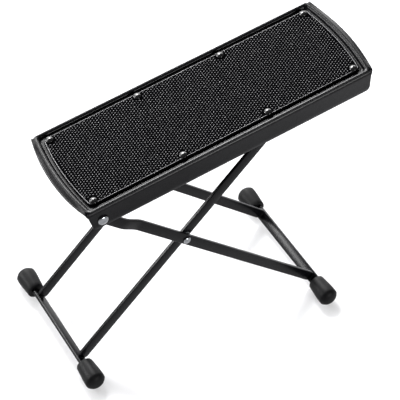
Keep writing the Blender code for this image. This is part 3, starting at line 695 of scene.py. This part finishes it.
def dot_group():
    """Dots in a hexagonal pattern, its close rows across the mat, clear of edge and rivets."""
    names = ("Pitch", "Dot Radius", "Dot Height", "Half Length", "Half Width", "End Bulge",
             "Edge Margin", "Rivet Inner X", "Rivet Outer X", "Rivet Y", "Rivet Margin", "Top")
    tree, given = new_group("mat_dot_highlight", [(name, "Float") for name in names])
    known = {name: given[name] for name in names}
    known["index"] = add_node(tree, 'GeometryNodeInputIndex').outputs[0]
    spot = add_node(tree, 'GeometryNodeInputPosition').outputs[0]
    parts = add_node(tree, 'ShaderNodeSeparateXYZ', inputs={0: spot}).outputs
    known["x"], known["y"] = parts[0], parts[1]

    # Each sum is its result's name, the operation, and the names or numbers that it takes
    sums = [
        ("column pitch", 'MULTIPLY', "Pitch", math.sqrt(3) / 2),
        ("length", 'ADD', "Half Length", "End Bulge"),
        ("length", 'MULTIPLY', "length", 2.0),
        ("columns", 'DIVIDE', "length", "column pitch"),
        ("columns", 'CEIL', "columns"),
        ("width", 'MULTIPLY', "Half Width", 2.0),
        ("lines", 'DIVIDE', "width", "Pitch"),
        ("lines", 'CEIL', "lines"),
        ("Size X", 'MULTIPLY', "columns", "column pitch"),
        ("Size Y", 'MULTIPLY', "lines", "Pitch"),
        ("Vertices X", 'ADD', "columns", 1.0),
        ("Vertices Y", 'ADD', "lines", 1.0),
        ("column", 'DIVIDE', "index", "Vertices Y"),
        ("column", 'FLOOR', "column"),
        ("shift", 'MODULO', "column", 2.0),
        ("shift", 'MULTIPLY', "shift", "Pitch"),
        ("shift", 'MULTIPLY', "shift", 0.5),
        ("across", 'ABSOLUTE', "x"),
        ("along", 'ABSOLUTE', "y"),
        ("bow", 'DIVIDE', "along", "Half Width"),
        ("bow", 'MULTIPLY', "bow", "bow"),
        ("bow", 'SUBTRACT', 1.0, "bow"),
        ("bow", 'MULTIPLY', "End Bulge", "bow"),
        ("end x", 'ADD', "Half Length", "bow"),
        ("end x", 'SUBTRACT', "end x", "Edge Margin"),
        ("side y", 'SUBTRACT', "Half Width", "Edge Margin"),
        ("keep", 'LESS_THAN', "across", "end x"),
        ("inside", 'LESS_THAN', "along", "side y"),
        ("keep", 'MULTIPLY', "keep", "inside"),
        ("dy", 'SUBTRACT', "along", "Rivet Y"),
        ("dy", 'MULTIPLY', "dy", "dy"),
    ]
    for rivet in ("Rivet Inner X", "Rivet Outer X"):
        sums += [
            ("dx", 'SUBTRACT', "across", rivet),
            ("dx", 'MULTIPLY', "dx", "dx"),
            ("gap", 'ADD', "dx", "dy"),
            ("gap", 'SQRT', "gap"),
            ("clear", 'GREATER_THAN', "gap", "Rivet Margin"),
            ("keep", 'MULTIPLY', "keep", "clear"),
        ]
    sums += [("drop", 'LESS_THAN', "keep", 0.5), ("Top Radius", 'MULTIPLY', "Dot Radius", 0.5)]
    for result, operation, *values in sums:
        inputs = {i: known.get(value, value) for i, value in enumerate(values)}
        node = add_node(tree, 'ShaderNodeMath', {"operation": operation}, inputs)
        known[result] = node.outputs[0]

    grid = add_node(tree, 'GeometryNodeMeshGrid', inputs={
        name: known[name] for name in ("Size X", "Size Y", "Vertices X", "Vertices Y")})
    offset = add_node(tree, 'ShaderNodeCombineXYZ', inputs={1: known["shift"], 2: given["Top"]})
    staggered = add_node(tree, 'GeometryNodeSetPosition', inputs={
        "Geometry": grid.outputs["Mesh"], "Offset": offset.outputs[0]})
    chosen = add_node(tree, 'GeometryNodeDeleteGeometry', {"domain": 'POINT'}, {
        "Geometry": staggered.outputs[0], "Selection": known["drop"]})
    dot = add_node(tree, 'GeometryNodeMeshCone', inputs={
        "Vertices": DOT_SIDES, "Side Segments": 1, "Radius Bottom": given["Dot Radius"],
        "Radius Top": known["Top Radius"], "Depth": given["Dot Height"]})
    dots = add_node(tree, 'GeometryNodeInstanceOnPoints', inputs={
        "Points": chosen.outputs[0], "Instance": dot.outputs["Mesh"]})
    both = add_node(tree, 'GeometryNodeJoinGeometry')
    for mesh in (dots.outputs[0], given["Geometry"]):
        tree.links.new(mesh, both.inputs[0])
    end_of_group(tree, both.outputs[0], given["Material"])
    return tree


# Rivets

def rivet_template(sizes, head_base, grip):
    """One rivet along Z with its head up at head_base and its closed end a grip below."""
    head_radius, head_height, shank_radius, tail_radius, tail_height = sizes
    profile = []
    for sine, cosine in quarter(HEAD_STEPS, 1):
        rise = HEAD_WALL + (1 - HEAD_WALL) * cosine
        profile.append((head_base + head_height * rise, head_radius * sine))
    profile += [(head_base + head_height * up, head_radius * out) for up, out in HEAD_EDGES]
    tail_top = head_base - grip
    profile += [(head_base, shank_radius), (tail_top, shank_radius),
                (tail_top, tail_radius * TAIL_EDGE)]
    for sine, cosine in list(quarter(TAIL_STEPS))[:-1]:
        drop = TAIL_WALL + (1 - TAIL_WALL) * sine
        profile.append((tail_top - tail_height * drop, tail_radius * cosine))
    bm = bmesh.new()
    rings = turned_rings(profile, RIVET_SEGMENTS)
    skin(bm, [[Vector((p.x, -p.z, p.y)) for p in ring] for ring in rings])
    return new_object("rivet_template", bm)


def rivet_group():
    """A rivet set on each point of a mesh along the axis that the point holds."""
    tree, given = new_group("rivets", [("Rivet", "Object")])
    shape = add_node(tree, 'GeometryNodeObjectInfo', inputs={"Object": given["Rivet"]})
    axis = add_node(tree, 'GeometryNodeInputNamedAttribute', {
        "data_type": 'FLOAT_VECTOR'}, {"Name": "axis"})
    turn = add_node(tree, 'FunctionNodeAlignRotationToVector', {"axis": 'Z'}, {
        "Vector": axis.outputs[0]})
    set_in = add_node(tree, 'GeometryNodeInstanceOnPoints', inputs={
        "Points": given["Geometry"], "Instance": shape.outputs["Geometry"],
        "Rotation": turn.outputs[0]})
    end_of_group(tree, set_in.outputs[0], given["Material"])
    return tree


def rivets(name, points, sizes, head_base, grip, slot):
    """Rivets at (place, axis) pairs as one mesh."""
    mesh = bpy.data.meshes.new(name)
    mesh.from_pydata([place for place, _ in points], [], [])
    axes = mesh.attributes.new("axis", 'FLOAT_VECTOR', 'POINT')
    for i, (_, axis) in enumerate(points):
        axes.data[i].vector = axis
    obj = linked(name, mesh)
    template = rivet_template(sizes, head_base, grip)
    tree = bpy.data.node_groups.get("rivets") or rivet_group()
    use_group(obj, tree, {"Rivet": template, "Material": material_for(slot)})
    bpy.data.objects.remove(template)
    return obj


def mat_rivet_points():
    """The front row from the left and then the rear row, with the axis upwards."""
    across = (-MAT_RIVET_OUTER_X, -MAT_RIVET_INNER_X, MAT_RIVET_INNER_X, MAT_RIVET_OUTER_X)
    return [((x, y, 0.0), (0.0, 0.0, 1.0))
            for y in (-MAT_RIVET_ROW_PITCH / 2, MAT_RIVET_ROW_PITCH / 2) for x in across]


def side_points(x, z):
    """Both sides of a leg frame, with the axis pointing outwards."""
    return [((x, 0.0, z), (0.0, -1.0, 0.0)), ((x, 0.0, z), (0.0, 1.0, 0.0))]


# Flat bars

def flat_bar(name, stations):
    """A flat bar along X from (x, half width, y, z) stations, with square edges."""
    bm = bmesh.new()
    skin(bm, [[Vector((x, y + out, z + up)) for out, up in around(BAR_THICKNESS / 2, half_width)]
              for x, half_width, y, z in stations])
    return new_object(name, bm)


def round_end(direction, centre_x, y, z):
    """Stations of a half-round end about centre_x, from its tip in to the full width."""
    half = BAR_WIDTH / 2
    return [(centre_x + direction * half * cosine, half * sine, y, z)
            for sine, cosine in quarter(LEG_TOP_STEPS, 1)]


def corner_end(direction, end_x, y, z):
    """Stations of a square end with rounded corners, from the full width out to the end."""
    stations = []
    for sine, cosine in quarter(LEG_FOOT_STEPS):
        drop = LEG_FOOT_CORNER_RADIUS * (1 - cosine)
        x = end_x - direction * LEG_FOOT_CORNER_RADIUS * (1 - sine)
        stations.append((x, BAR_WIDTH / 2 - drop, y, z))
    return stations


def outer_leg(sign, rounding):
    """Outer leg from the tray pivot at the origin, with the jog that brings it in."""
    high_y = sign * OUTER_HIGH_Y
    low_y = sign * OUTER_LOW_Y
    stations = round_end(-1, 0.0, high_y, 0.0)
    for step in range(JOG_STEPS + 1):
        share = step / JOG_STEPS
        ease = share * share * (3 - 2 * share)
        x = OUTER_JOG_START + OUTER_JOG_LENGTH * share
        stations.append((x, BAR_WIDTH / 2, blend(high_y, low_y, ease), OUTER_JOG_RISE * ease))
    stations += corner_end(1, OUTER_LENGTH - FIT_GAP, low_y, OUTER_JOG_RISE)
    return round_edges(flat_bar("outer_leg", stations), rounding)


def inner_leg(sign, rounding):
    """Inner leg with its origin where the frames cross."""
    y = sign * INNER_Y
    stations = corner_end(-1, -(INNER_LOWER_LENGTH - FIT_GAP), y, 0.0)
    stations.reverse()
    stations += reversed(round_end(1, INNER_UPPER_LENGTH, y, 0.0))
    return round_edges(flat_bar("inner_leg", stations), rounding)


def crossbar(centre, half_length, rounding):
    """Flat bar along Y with its broad faces square to the legs."""
    half = BAR_WIDTH / 2
    obj = flat_bar("crossbar", [(-half_length, half, 0.0, 0.0), (half_length, half, 0.0, 0.0)])
    round_edges(obj, rounding)
    obj.data.transform(Matrix.Translation(centre) @ Matrix.Rotation(math.pi / 2, 4, 'Z'))
    return obj


def weld_group():
    """A row of small overlapping drops along each edge of a mesh, as a weld bead."""
    tree, given = new_group("weld_beads", [("Spacing", "Float"), ("Radius", "Float")])
    curve = add_node(tree, 'GeometryNodeMeshToCurve', inputs={"Mesh": given["Geometry"]})
    points = add_node(tree, 'GeometryNodeCurveToPoints', {"mode": 'LENGTH'}, {
        "Curve": curve.outputs[0], "Length": given["Spacing"]})
    drop = add_node(tree, 'GeometryNodeMeshUVSphere', inputs={
        "Segments": WELD_DROP_SEGMENTS, "Rings": WELD_DROP_RINGS,
        "Radius": given["Radius"]})
    smallest, largest = 0.85, 1.1
    size = add_node(tree, 'FunctionNodeRandomValue', {"data_type": 'FLOAT'}, {
        2: smallest, 3: largest, "Seed": 7})
    drops = add_node(tree, 'GeometryNodeInstanceOnPoints', inputs={
        "Points": points.outputs[0], "Instance": drop.outputs["Mesh"],
        "Scale": size.outputs[1]})
    end_of_group(tree, drops.outputs[0], given["Material"])
    return tree


def weld_beads(name, bar_centre, leg_y, direction, spacing, radius):
    """Beads on both broad faces of each leg where it stands on its crossbar."""
    x = bar_centre.x - direction * (BAR_THICKNESS / 2)
    reach = BAR_WIDTH / 2 - LEG_FOOT_CORNER_RADIUS
    verts = []
    edges = []
    for sign in (-1, 1):
        for side in (-1, 1):
            y = sign * leg_y + side * BAR_THICKNESS / 2
            verts += [(x, y, bar_centre.z - reach), (x, y, bar_centre.z + reach)]
            edges.append((len(verts) - 2, len(verts) - 1))
    mesh = bpy.data.meshes.new(name)
    mesh.from_pydata(verts, edges, [])
    tree = bpy.data.node_groups.get("weld_beads") or weld_group()
    return use_group(linked(name, mesh), tree, {
        "Spacing": spacing, "Radius": radius, "Material": material_for("black_powder_coat")})


# Feet, rod, washers and racks

def foot(name, sign, centre, inner_y, ridge):
    """Rubber foot about its crossbar's axis, with the slot for the bar."""
    bulge = FOOT_RADIUS - FOOT_NECK_RADIUS
    sides = [(out, FOOT_NECK_RADIUS + bulge * swell) for out, swell in FOOT_SIDE_SHARES]
    sides += [(out, FOOT_RADIUS * swell) for out, swell in FOOT_TIP_SHARES]
    profile = [(sign * (FOOT_LENGTH * out), radius) for out, radius in sides]
    obj = turned(name, profile, FOOT_SEGMENTS, ridge)
    corners = around(BAR_THICKNESS / 2 + FIT_GAP, BAR_WIDTH / 2 + FIT_GAP)
    bm = bmesh.new()
    ends = (-sign * FIT_GAP, sign * (FOOT_POCKET_DEPTH + FIT_GAP))
    skin(bm, [[Vector((x, y, z)) for x, z in corners] for y in ends])
    pocket = new_object("pocket", bm)
    cut = obj.modifiers.new("slot", 'BOOLEAN')
    cut.operation = 'DIFFERENCE'
    cut.solver = 'EXACT'
    cut.object = pocket
    settle(obj)
    bpy.data.objects.remove(pocket)
    obj.data.transform(Matrix.Translation(centre + Vector((0.0, sign * inner_y, 0.0))))
    return obj


def locking_rod():
    """Rod with turned-down ends that sit in the inner legs."""
    tip = INNER_Y + BAR_THICKNESS / 2
    shoulder = tip - BAR_THICKNESS - FIT_GAP
    soft = ROD_EDGE_BREAK
    half = [(tip, ROD_END_RADIUS - soft), (tip - soft, ROD_END_RADIUS),
            (shoulder, ROD_END_RADIUS), (shoulder, ROD_RADIUS - soft),
            (shoulder - soft, ROD_RADIUS)]
    profile = half + [(-place, radius) for place, radius in reversed(half)]
    obj = turned("locking_rod_fine", profile, ROD_SEGMENTS)
    obj.data.transform(Matrix.Translation((INNER_UPPER_LENGTH, 0.0, 0.0)))
    return obj


def washers():
    """Both spacing washers between the legs, with broken edges."""
    low = INNER_Y + BAR_THICKNESS / 2 + FIT_GAP
    high = OUTER_LOW_Y - BAR_THICKNESS / 2 - FIT_GAP
    bore = CROSS_RIVET[2] + FIT_GAP
    soft = WASHER_EDGE_BREAK
    loops = ((low, bore), (low, WASHER_RADIUS - soft), (low + soft, WASHER_RADIUS),
             (high - soft, WASHER_RADIUS), (high, WASHER_RADIUS - soft), (high, bore))
    bm = bmesh.new()
    for sign in (-1, 1):
        profile = [(sign * place, radius) for place, radius in loops]
        rows = skin(bm, turned_rings(profile, WASHER_SEGMENTS), ends=0)
        for i in range(WASHER_SEGMENTS):
            j = (i + 1) % WASHER_SEGMENTS
            bm.faces.new((rows[-1][i], rows[-1][j], rows[0][j], rows[0][i]))
    obj = new_object("cross_washers", bm)
    obj.data.transform(Matrix.Translation((OUTER_UPPER_LENGTH, 0.0, OUTER_JOG_RISE)))
    return obj


def rack_outline():
    """Side view of the toothed flange from its first end, with round-bottomed notches."""
    root_half = ROD_RADIUS + FIT_GAP
    mouth_half = RACK_NOTCH_MOUTH / 2
    root_rise = ROD_RADIUS / 2
    shoulder_z = RACK_TIP_Z + RACK_NOTCH_DEPTH - root_rise
    last = RACK_FIRST_NOTCH + RACK_NOTCH_PITCH * (RACK_NOTCH_COUNT - 1)
    start = RACK_FIRST_NOTCH - mouth_half - RACK_END_LAND
    end = last + mouth_half + RACK_END_LAND / 2
    points = [(end, RACK_TOP_Z), (start, RACK_TOP_Z), (start, RACK_TIP_Z)]
    for number in range(RACK_NOTCH_COUNT):
        x = RACK_FIRST_NOTCH + RACK_NOTCH_PITCH * number
        points.append((x - mouth_half, RACK_TIP_Z))
        for step in range(NOTCH_STEPS + 1):
            angle = math.pi * step / NOTCH_STEPS
            z = shoulder_z + root_rise * math.sin(angle)
            points.append((x - root_half * math.cos(angle), z))
        points.append((x + mouth_half, RACK_TIP_Z))
    points.append((end, RACK_TIP_Z))
    return points, start, end


def rack(name, sign):
    """A strip of angle under the tray: a flat web and a notched flange."""
    outline, start, end = rack_outline()
    web_y = sign * RACK_WEB_Y
    flange_y = sign * (RACK_WEB_Y - RACK_WEB_WIDTH)
    face_y = flange_y + sign * RACK_SHEET
    bm = bmesh.new()
    inner, outer = [[bm.verts.new((x, y, z)) for x, z in outline] for y in (flange_y, face_y)]
    web = ((end, RACK_TOP_Z), (start, RACK_TOP_Z), (start, RACK_FLANGE_TOP_Z),
           (end, RACK_FLANGE_TOP_Z))
    tab = [bm.verts.new((x, web_y, z)) for x, z in web]
    fold_start, fold_end = [
        bm.verts.new((x, face_y, RACK_FLANGE_TOP_Z)) for x in (start, end)]
    bm.faces.new(inner)
    for i in range(2, len(outline) - 1):
        bm.faces.new((inner[i], inner[i + 1], outer[i + 1], outer[i]))
    bm.faces.new((*outer[2:], fold_end, fold_start))
    bm.faces.new((inner[0], inner[1], tab[1], tab[0]))
    bm.faces.new(tab)
    bm.faces.new((tab[3], tab[2], fold_start, fold_end))
    bm.faces.new((inner[1], inner[2], outer[2], fold_start, tab[2], tab[1]))
    bm.faces.new((inner[0], tab[0], tab[3], fold_end, outer[-1], inner[-1]))
    for spare in (outer[0], outer[1]):
        bm.verts.remove(spare)
    return round_edges(new_object(name, bm), RACK_EDGE_RADIUS, segments=2)


# Settings in the sidebar

def length(name, description, default):
    """A size in metres."""
    return FloatProperty(name=name, description=description, default=default, unit='LENGTH')


def power(name, description, default):
    """A lamp's power in watts."""
    return FloatProperty(name=name, description=description, default=default, unit='POWER')


def colour(name, description, default):
    """A colour whose default is an sRGB hex value."""
    return FloatVectorProperty(
        name=name, description=description, default=linear(default), subtype='COLOR',
        min=0.0, max=1.0)


class FootrestSizes(bpy.types.PropertyGroup):
    """Sizes that can be changed without touching the frame"""
    dot_pitch: length("Dot Pitch", "Distance between the dots of the mat", 0.00246)
    dot_radius: length("Dot Radius", "Radius of a dot at its foot", 0.00070)
    dot_height: length("Dot Height", "Height of a dot above the mat", 0.0005)
    border_width: length("Border", "Width of the low border along the mat's edge", 0.0008)
    border_height: length("Border Height", "Height of that border above the mat", 0.0003)
    edge_margin: length("Plain Edge", "Distance of the dots from the mat's edge", 0.0017)
    rivet_margin: length("Plain Ring", "Radius of the plain ring round a rivet", 0.0043)
    bar_rounding: length("Bar Rounding", "Radius on the edges of the flat bars", 0.0005)
    sheet_rounding: length("Sheet Rounding", "Radius on the cut edges of the tray", 0.0002)
    weld_radius: length("Weld Radius", "Radius of a drop in a weld bead", 0.0008)
    weld_spacing: length("Weld Spacing", "Distance between the drops of a weld", 0.0006)
    foot_ridge: length("Mould Line", "Height of the mould line on a foot", 0.00008)


class FootrestColours(bpy.types.PropertyGroup):
    """Colours of the finishes"""
    powder_coat: colour("Powder Coat", "Satin black on all the steel sheet and bar", "08080a")
    mat_rubber: colour("Mat Rubber", "Dull black of the mat", "040405")
    # A paler colour painted on the tops of the mat's dots as their highlight
    mat_dot_highlight: colour("Mat Dots", "Rubbed tops of the mat's dots", "444447")
    foot_rubber: colour("Foot Rubber", "Matt black of the feet", "09090a")
    rivet_enamel: colour("Rivet Enamel", "Gloss black of the mat's rivets", "0f0f10")
    bright_zinc: colour("Bright Zinc", "Plating of the rivets on the legs", "8e9093")
    plain_zinc: colour("Plain Zinc", "Plating of the rod and washers", "9a9da1")


class FootrestStudio(bpy.types.PropertyGroup):
    """Floor and light"""
    floor_colour: colour("Floor", "Colour of the plain floor", "b0b0b2")
    floor_lift: FloatProperty(
        name="Floor Lift", description="Light added to the floor where it is seen",
        default=0.44, min=0.0)
    floor_size: length("Floor Size", "Width of the floor", 12.0)
    wall_height: length("Wall", "Height of the wall", 2.4)
    world_light: FloatProperty(
        name="Sky", description="Strength of the even light", default=0.12, min=0.0)
    back_light: power("Back", "Wide lamp low behind", 50.0)
    side_light: power("Side", "Wide lamp low on the left", 10.0)
    key_light: power("Key", "Long lamp high behind", 34.0)
    low_light: power("Low", "Small lamp that draws the legs' edges", 32.0)
    edge_light: power("Edge", "Small lamp that draws the front edge", 34.0)
    front_light: power("Front", "Small lamp in front", 28.0)


# Operators

class FOOTREST_OT_tray(bpy.types.Operator):
    """Build the pressed steel tray"""
    bl_idname = "footrest.tray"
    bl_label = "Tray"

    def execute(self, context):
        sizes = context.scene.footrest_sizes
        shell = round_edges(tray_shell(), sizes.sheet_rounding, segments=2, angle=60)
        finish_piece(shell, TRAY_PLACE, "tray", "black_powder_coat", ["tray"])
        return {'FINISHED'}


class FOOTREST_OT_mat(bpy.types.Operator):
    """Build the rubber mat with its dots"""
    bl_idname = "footrest.mat"
    bl_label = "Mat"

    def execute(self, context):
        sizes = context.scene.footrest_sizes
        sheet = mat_sheet(sizes.border_width, sizes.border_height)
        use_group(sheet, dot_group(), {
            "Pitch": sizes.dot_pitch, "Dot Radius": sizes.dot_radius,
            "Dot Height": sizes.dot_height, "Half Length": RECESS_LENGTH / 2 - MAT_EDGE_GAP,
            "Half Width": RECESS_WIDTH / 2 - MAT_EDGE_GAP, "End Bulge": RECESS_END_BULGE,
            "Edge Margin": sizes.edge_margin, "Rivet Inner X": MAT_RIVET_INNER_X,
            "Rivet Outer X": MAT_RIVET_OUTER_X, "Rivet Y": MAT_RIVET_ROW_PITCH / 2,
            "Rivet Margin": sizes.rivet_margin, "Top": MAT_TOP_Z,
            "Material": material_for("black_mat_rubber")})
        nodes = ["rubber_mat"]
        finish_piece(sheet, TRAY_PLACE, "tray", "black_mat_rubber", nodes, smooth_angle=60)
        return {'FINISHED'}


class FOOTREST_OT_rivets(bpy.types.Operator):
    """Build all the rivets and the spacing washers"""
    bl_idname = "footrest.rivets"
    bl_label = "Rivets"

    def execute(self, context):
        # Each kind has its name, finish, body, place, points and sizes, the faces that its
        # head and its closed end lie on, and its nodes
        kinds = (
            ("mat_rivets", "black_rivet_enamel", "tray", TRAY_PLACE, mat_rivet_points(),
             MAT_RIVET, MAT_TOP_Z, PANEL_UNDER_Z,
             [f"mat_rivet_{side}_{n}" for side, _ in SIDES for n in (1, 2, 3, 4)]),
            ("pivot_rivets", "bright_zinc", "pivot_rivets", OUTER_PLACE,
             side_points(0.0, 0.0), PIVOT_RIVET, TRAY_WIDTH / 2,
             OUTER_HIGH_Y - BAR_THICKNESS / 2, ["pivot_rivet_front", "pivot_rivet_rear"]),
            ("cross_rivets", "bright_zinc", "outer_frame", OUTER_PLACE,
             side_points(OUTER_UPPER_LENGTH, OUTER_JOG_RISE), CROSS_RIVET,
             OUTER_LOW_Y + BAR_THICKNESS / 2, INNER_Y - BAR_THICKNESS / 2,
             ["cross_rivet_front", "cross_rivet_rear"]),
        )
        for name, slot, body, place, points, sizes, top, bottom, nodes in kinds:
            head = top + FIT_GAP
            row = rivets(name, points, sizes, head, head - bottom + FIT_GAP, slot)
            finish_piece(row, place, body, slot, nodes)
        nodes = ["cross_washer_front", "cross_washer_rear"]
        finish_piece(washers(), OUTER_PLACE, "outer_frame", "dull_zinc", nodes)
        return {'FINISHED'}


class FOOTREST_OT_racks(bpy.types.Operator):
    """Build the notched racks and the rod that locks in them"""
    bl_idname = "footrest.racks"
    bl_label = "Racks and Rod"

    def execute(self, context):
        for side, sign in SIDES:
            strip = rack(f"height_rack_{side}_fine", sign)
            finish_piece(strip, TRAY_PLACE, "tray", "black_powder_coat", [f"height_rack_{side}"])
        finish_piece(locking_rod(), INNER_PLACE, "inner_frame", "dull_zinc", ["locking_rod"])
        return {'FINISHED'}


class FOOTREST_OT_frames(bpy.types.Operator):
    """Build both leg frames with their crossbars and welds"""
    bl_idname = "footrest.frames"
    bl_label = "Leg Frames"

    def execute(self, context):
        sizes = context.scene.footrest_sizes
        legs = {"outer": outer_leg, "inner": inner_leg}
        for label, place, centre, leg_y, direction in FRAMES:
            body = f"{label}_frame"
            for side, sign in SIDES:
                leg = legs[label](sign, sizes.bar_rounding)
                leg.name = f"{label}_leg_{side}_fine"
                finish_piece(leg, place, body, "black_powder_coat", [f"{label}_leg_{side}"])
            half_length = leg_y + BAR_THICKNESS / 2 + CROSSBAR_BARE + FOOT_POCKET_DEPTH
            bar = crossbar(centre, half_length, sizes.bar_rounding)
            bar.name = f"{label}_crossbar_fine"
            finish_piece(bar, place, body, "black_powder_coat", [f"{label}_crossbar"])
            beads = weld_beads(
                f"{label}_welds", centre, leg_y, direction, sizes.weld_spacing,
                sizes.weld_radius)
            finish_piece(beads, place, body, "black_powder_coat", [])
        return {'FINISHED'}


class FOOTREST_OT_feet(bpy.types.Operator):
    """Build the four rubber feet"""
    bl_idname = "footrest.feet"
    bl_label = "Feet"

    def execute(self, context):
        ridge = context.scene.footrest_sizes.foot_ridge
        for label, place, centre, leg_y, _ in FRAMES:
            inner_y = leg_y + BAR_THICKNESS / 2 + CROSSBAR_BARE
            for side, sign in SIDES:
                cap = foot(f"rubber_foot_{label}_{side}_fine", sign, centre, inner_y, ridge)
                finish_piece(cap, place, f"{label}_frame", "black_foot_rubber",
                             [f"rubber_foot_{label}_{side}"], smooth_angle=50)
        return {'FINISHED'}


class FOOTREST_OT_stage(bpy.types.Operator):
    """Build the floor, the lights and the camera"""
    bl_idname = "footrest.stage"
    bl_label = "Stage"

    def execute(self, context):
        studio = context.scene.footrest_studio
        build_floor(studio)
        build_world(studio)
        build_lamps(studio)
        build_camera()
        return {'FINISHED'}


# Stage

def painted_board(studio):
    """Painted board: pale and matt, seen as plain white where no shadow falls on it."""
    material, tree, shader, _ = new_material("painted_board")
    shader.inputs["Base Color"].default_value = (*studio.floor_colour, 1.0)
    shader.inputs["Roughness"].default_value = 0.9
    shader.inputs["Specular IOR Level"].default_value = 0.0
    path = add_node(tree, 'ShaderNodeLightPath').outputs
    seen = path["Is Camera Ray"]
    for kind in ("Is Glossy Ray", "Is Transmission Ray"):
        either = add_node(tree, 'ShaderNodeMath', {"operation": 'MAXIMUM'}, {
            0: seen, 1: path[kind]})
        seen = either.outputs[0]
    lift = add_node(tree, 'ShaderNodeMath', {"operation": 'MULTIPLY'}, {
        0: seen, 1: studio.floor_lift})
    glow = add_node(tree, 'ShaderNodeEmission', inputs={
        "Color": (1.0, 1.0, 1.0, 1.0), "Strength": lift.outputs[0]})
    both = add_node(tree, 'ShaderNodeAddShader', inputs={
        0: shader.outputs[0], 1: glow.outputs[0]})
    tree.links.new(both.outputs[0], tree.nodes["Material Output"].inputs["Surface"])
    return material


def build_floor(studio):
    """A round floor that curves up into a low wall all round, so no edge of it is seen."""
    reach = studio.floor_size / 2
    cove = reach / 6
    profile = [(reach - cove, 0.0)]
    for sine, cosine in quarter(COVE_STEPS, 1):
        profile.append((reach - cove + cove * sine, cove * (1 - cosine)))
    profile.append((reach, studio.wall_height))
    turns = [2 * math.pi * i / FLOOR_SEGMENTS for i in range(FLOOR_SEGMENTS)]
    bm = bmesh.new()
    skin(bm, [[(radius * math.cos(turn), radius * math.sin(turn), z) for turn in turns]
              for radius, z in profile], ends=1)
    floor = new_object("floor", bm)
    floor.data.shade_smooth()
    floor.data.materials.append(painted_board(studio))


def build_world(studio):
    """Even white light, weak enough to leave the ceiling dark."""
    world = bpy.data.worlds.new("studio")
    world.use_nodes = True
    bpy.context.scene.world = world
    back = world.node_tree.nodes["Background"]
    back.inputs["Color"].default_value = (1.0, 1.0, 1.0, 1.0)
    back.inputs["Strength"].default_value = studio.world_light


def lamp(name, place, target, size, watts):
    """A soft rectangular lamp at a place, aimed at a target."""
    light = bpy.data.lights.new(name, 'AREA')
    light.shape = 'RECTANGLE'
    light.size, light.size_y = size
    light.energy = watts
    aim = (Vector(target) - Vector(place)).to_track_quat('-Z', 'Y')
    linked(name, light).matrix_world = Matrix.Translation(place) @ aim.to_matrix().to_4x4()


def build_lamps(studio):
    """Six lamps round the part. Each row has its direction in degrees from +X, its distance,
    its height, its width and height in metres and its power."""
    lamps = (
        ("back", 68, 1.6, 0.74, (1.9, 1.5), studio.back_light),
        ("side", 125, 1.6, 0.74, (1.9, 1.5), studio.side_light),
        ("key", 105, 1.4, 1.55, (2.0, 0.35), studio.key_light),
        ("low", 142, 1.6, 0.55, (1.0, 0.25), studio.low_light),
        ("edge", 82, 1.4, 1.55, (0.5, 0.35), studio.edge_light),
        ("front", -79, 2.0, 0.72, (0.8, 0.5), studio.front_light),
    )
    target = (0.0, 0.0, 0.15)
    for name, turn, distance, height, size, watts in lamps:
        angle = math.radians(turn)
        place = (distance * math.cos(angle), distance * math.sin(angle), height)
        lamp(name, place, target, size, watts)


def build_camera():
    """The photograph's view, placed in the tray's own frame."""
    right = Vector((0.8616, -0.4960, -0.1079))
    down = Vector((-0.4465, -0.6394, -0.6260))
    view = Vector((0.2415, 0.5875, -0.7723))
    place = Vector((-0.3499, -0.8149, 0.9655))
    turn = Matrix((right, -down, -view)).transposed().to_4x4()
    data = bpy.data.cameras.new("camera")
    data.sensor_width = 36.0
    data.lens = 156.07
    data.clip_start = 0.01
    data.clip_end = 100.0
    camera = linked("camera", data)
    camera.matrix_world = TRAY_PLACE @ Matrix.Translation(place) @ turn
    bpy.context.scene.camera = camera


# Panel and registration

STEPS = (FOOTREST_OT_tray, FOOTREST_OT_mat, FOOTREST_OT_rivets, FOOTREST_OT_racks,
         FOOTREST_OT_frames, FOOTREST_OT_feet, FOOTREST_OT_stage)


class FOOTREST_PT_build(bpy.types.Panel):
    """Settings and steps of the footrest"""
    bl_label = "Guitar Footrest"
    bl_idname = "FOOTREST_PT_build"
    bl_space_type = 'VIEW_3D'
    bl_region_type = 'UI'
    bl_category = "Footrest"

    def draw(self, context):
        for group in ("footrest_sizes", "footrest_colours", "footrest_studio"):
            settings = getattr(context.scene, group)
            box = self.layout.box()
            for name in settings.__annotations__:
                box.prop(settings, name)
        for step in STEPS:
            self.layout.operator(step.bl_idname)


CLASSES = (FootrestSizes, FootrestColours, FootrestStudio, *STEPS, FOOTREST_PT_build)


def register():
    for cls in CLASSES:
        bpy.utils.register_class(cls)
    bpy.types.Scene.footrest_sizes = PointerProperty(type=FootrestSizes)
    bpy.types.Scene.footrest_colours = PointerProperty(type=FootrestColours)
    bpy.types.Scene.footrest_studio = PointerProperty(type=FootrestStudio)


def unregister():
    del bpy.types.Scene.footrest_studio
    del bpy.types.Scene.footrest_colours
    del bpy.types.Scene.footrest_sizes
    for cls in reversed(CLASSES):
        bpy.utils.unregister_class(cls)


def main():
    register()
    bpy.context.scene.view_settings.view_transform = 'Standard'
    bpy.ops.footrest.tray()
    bpy.ops.footrest.mat()
    bpy.ops.footrest.rivets()
    bpy.ops.footrest.racks()
    bpy.ops.footrest.frames()
    bpy.ops.footrest.feet()
    bpy.ops.footrest.stage()


if __name__ == "__main__":
    main()
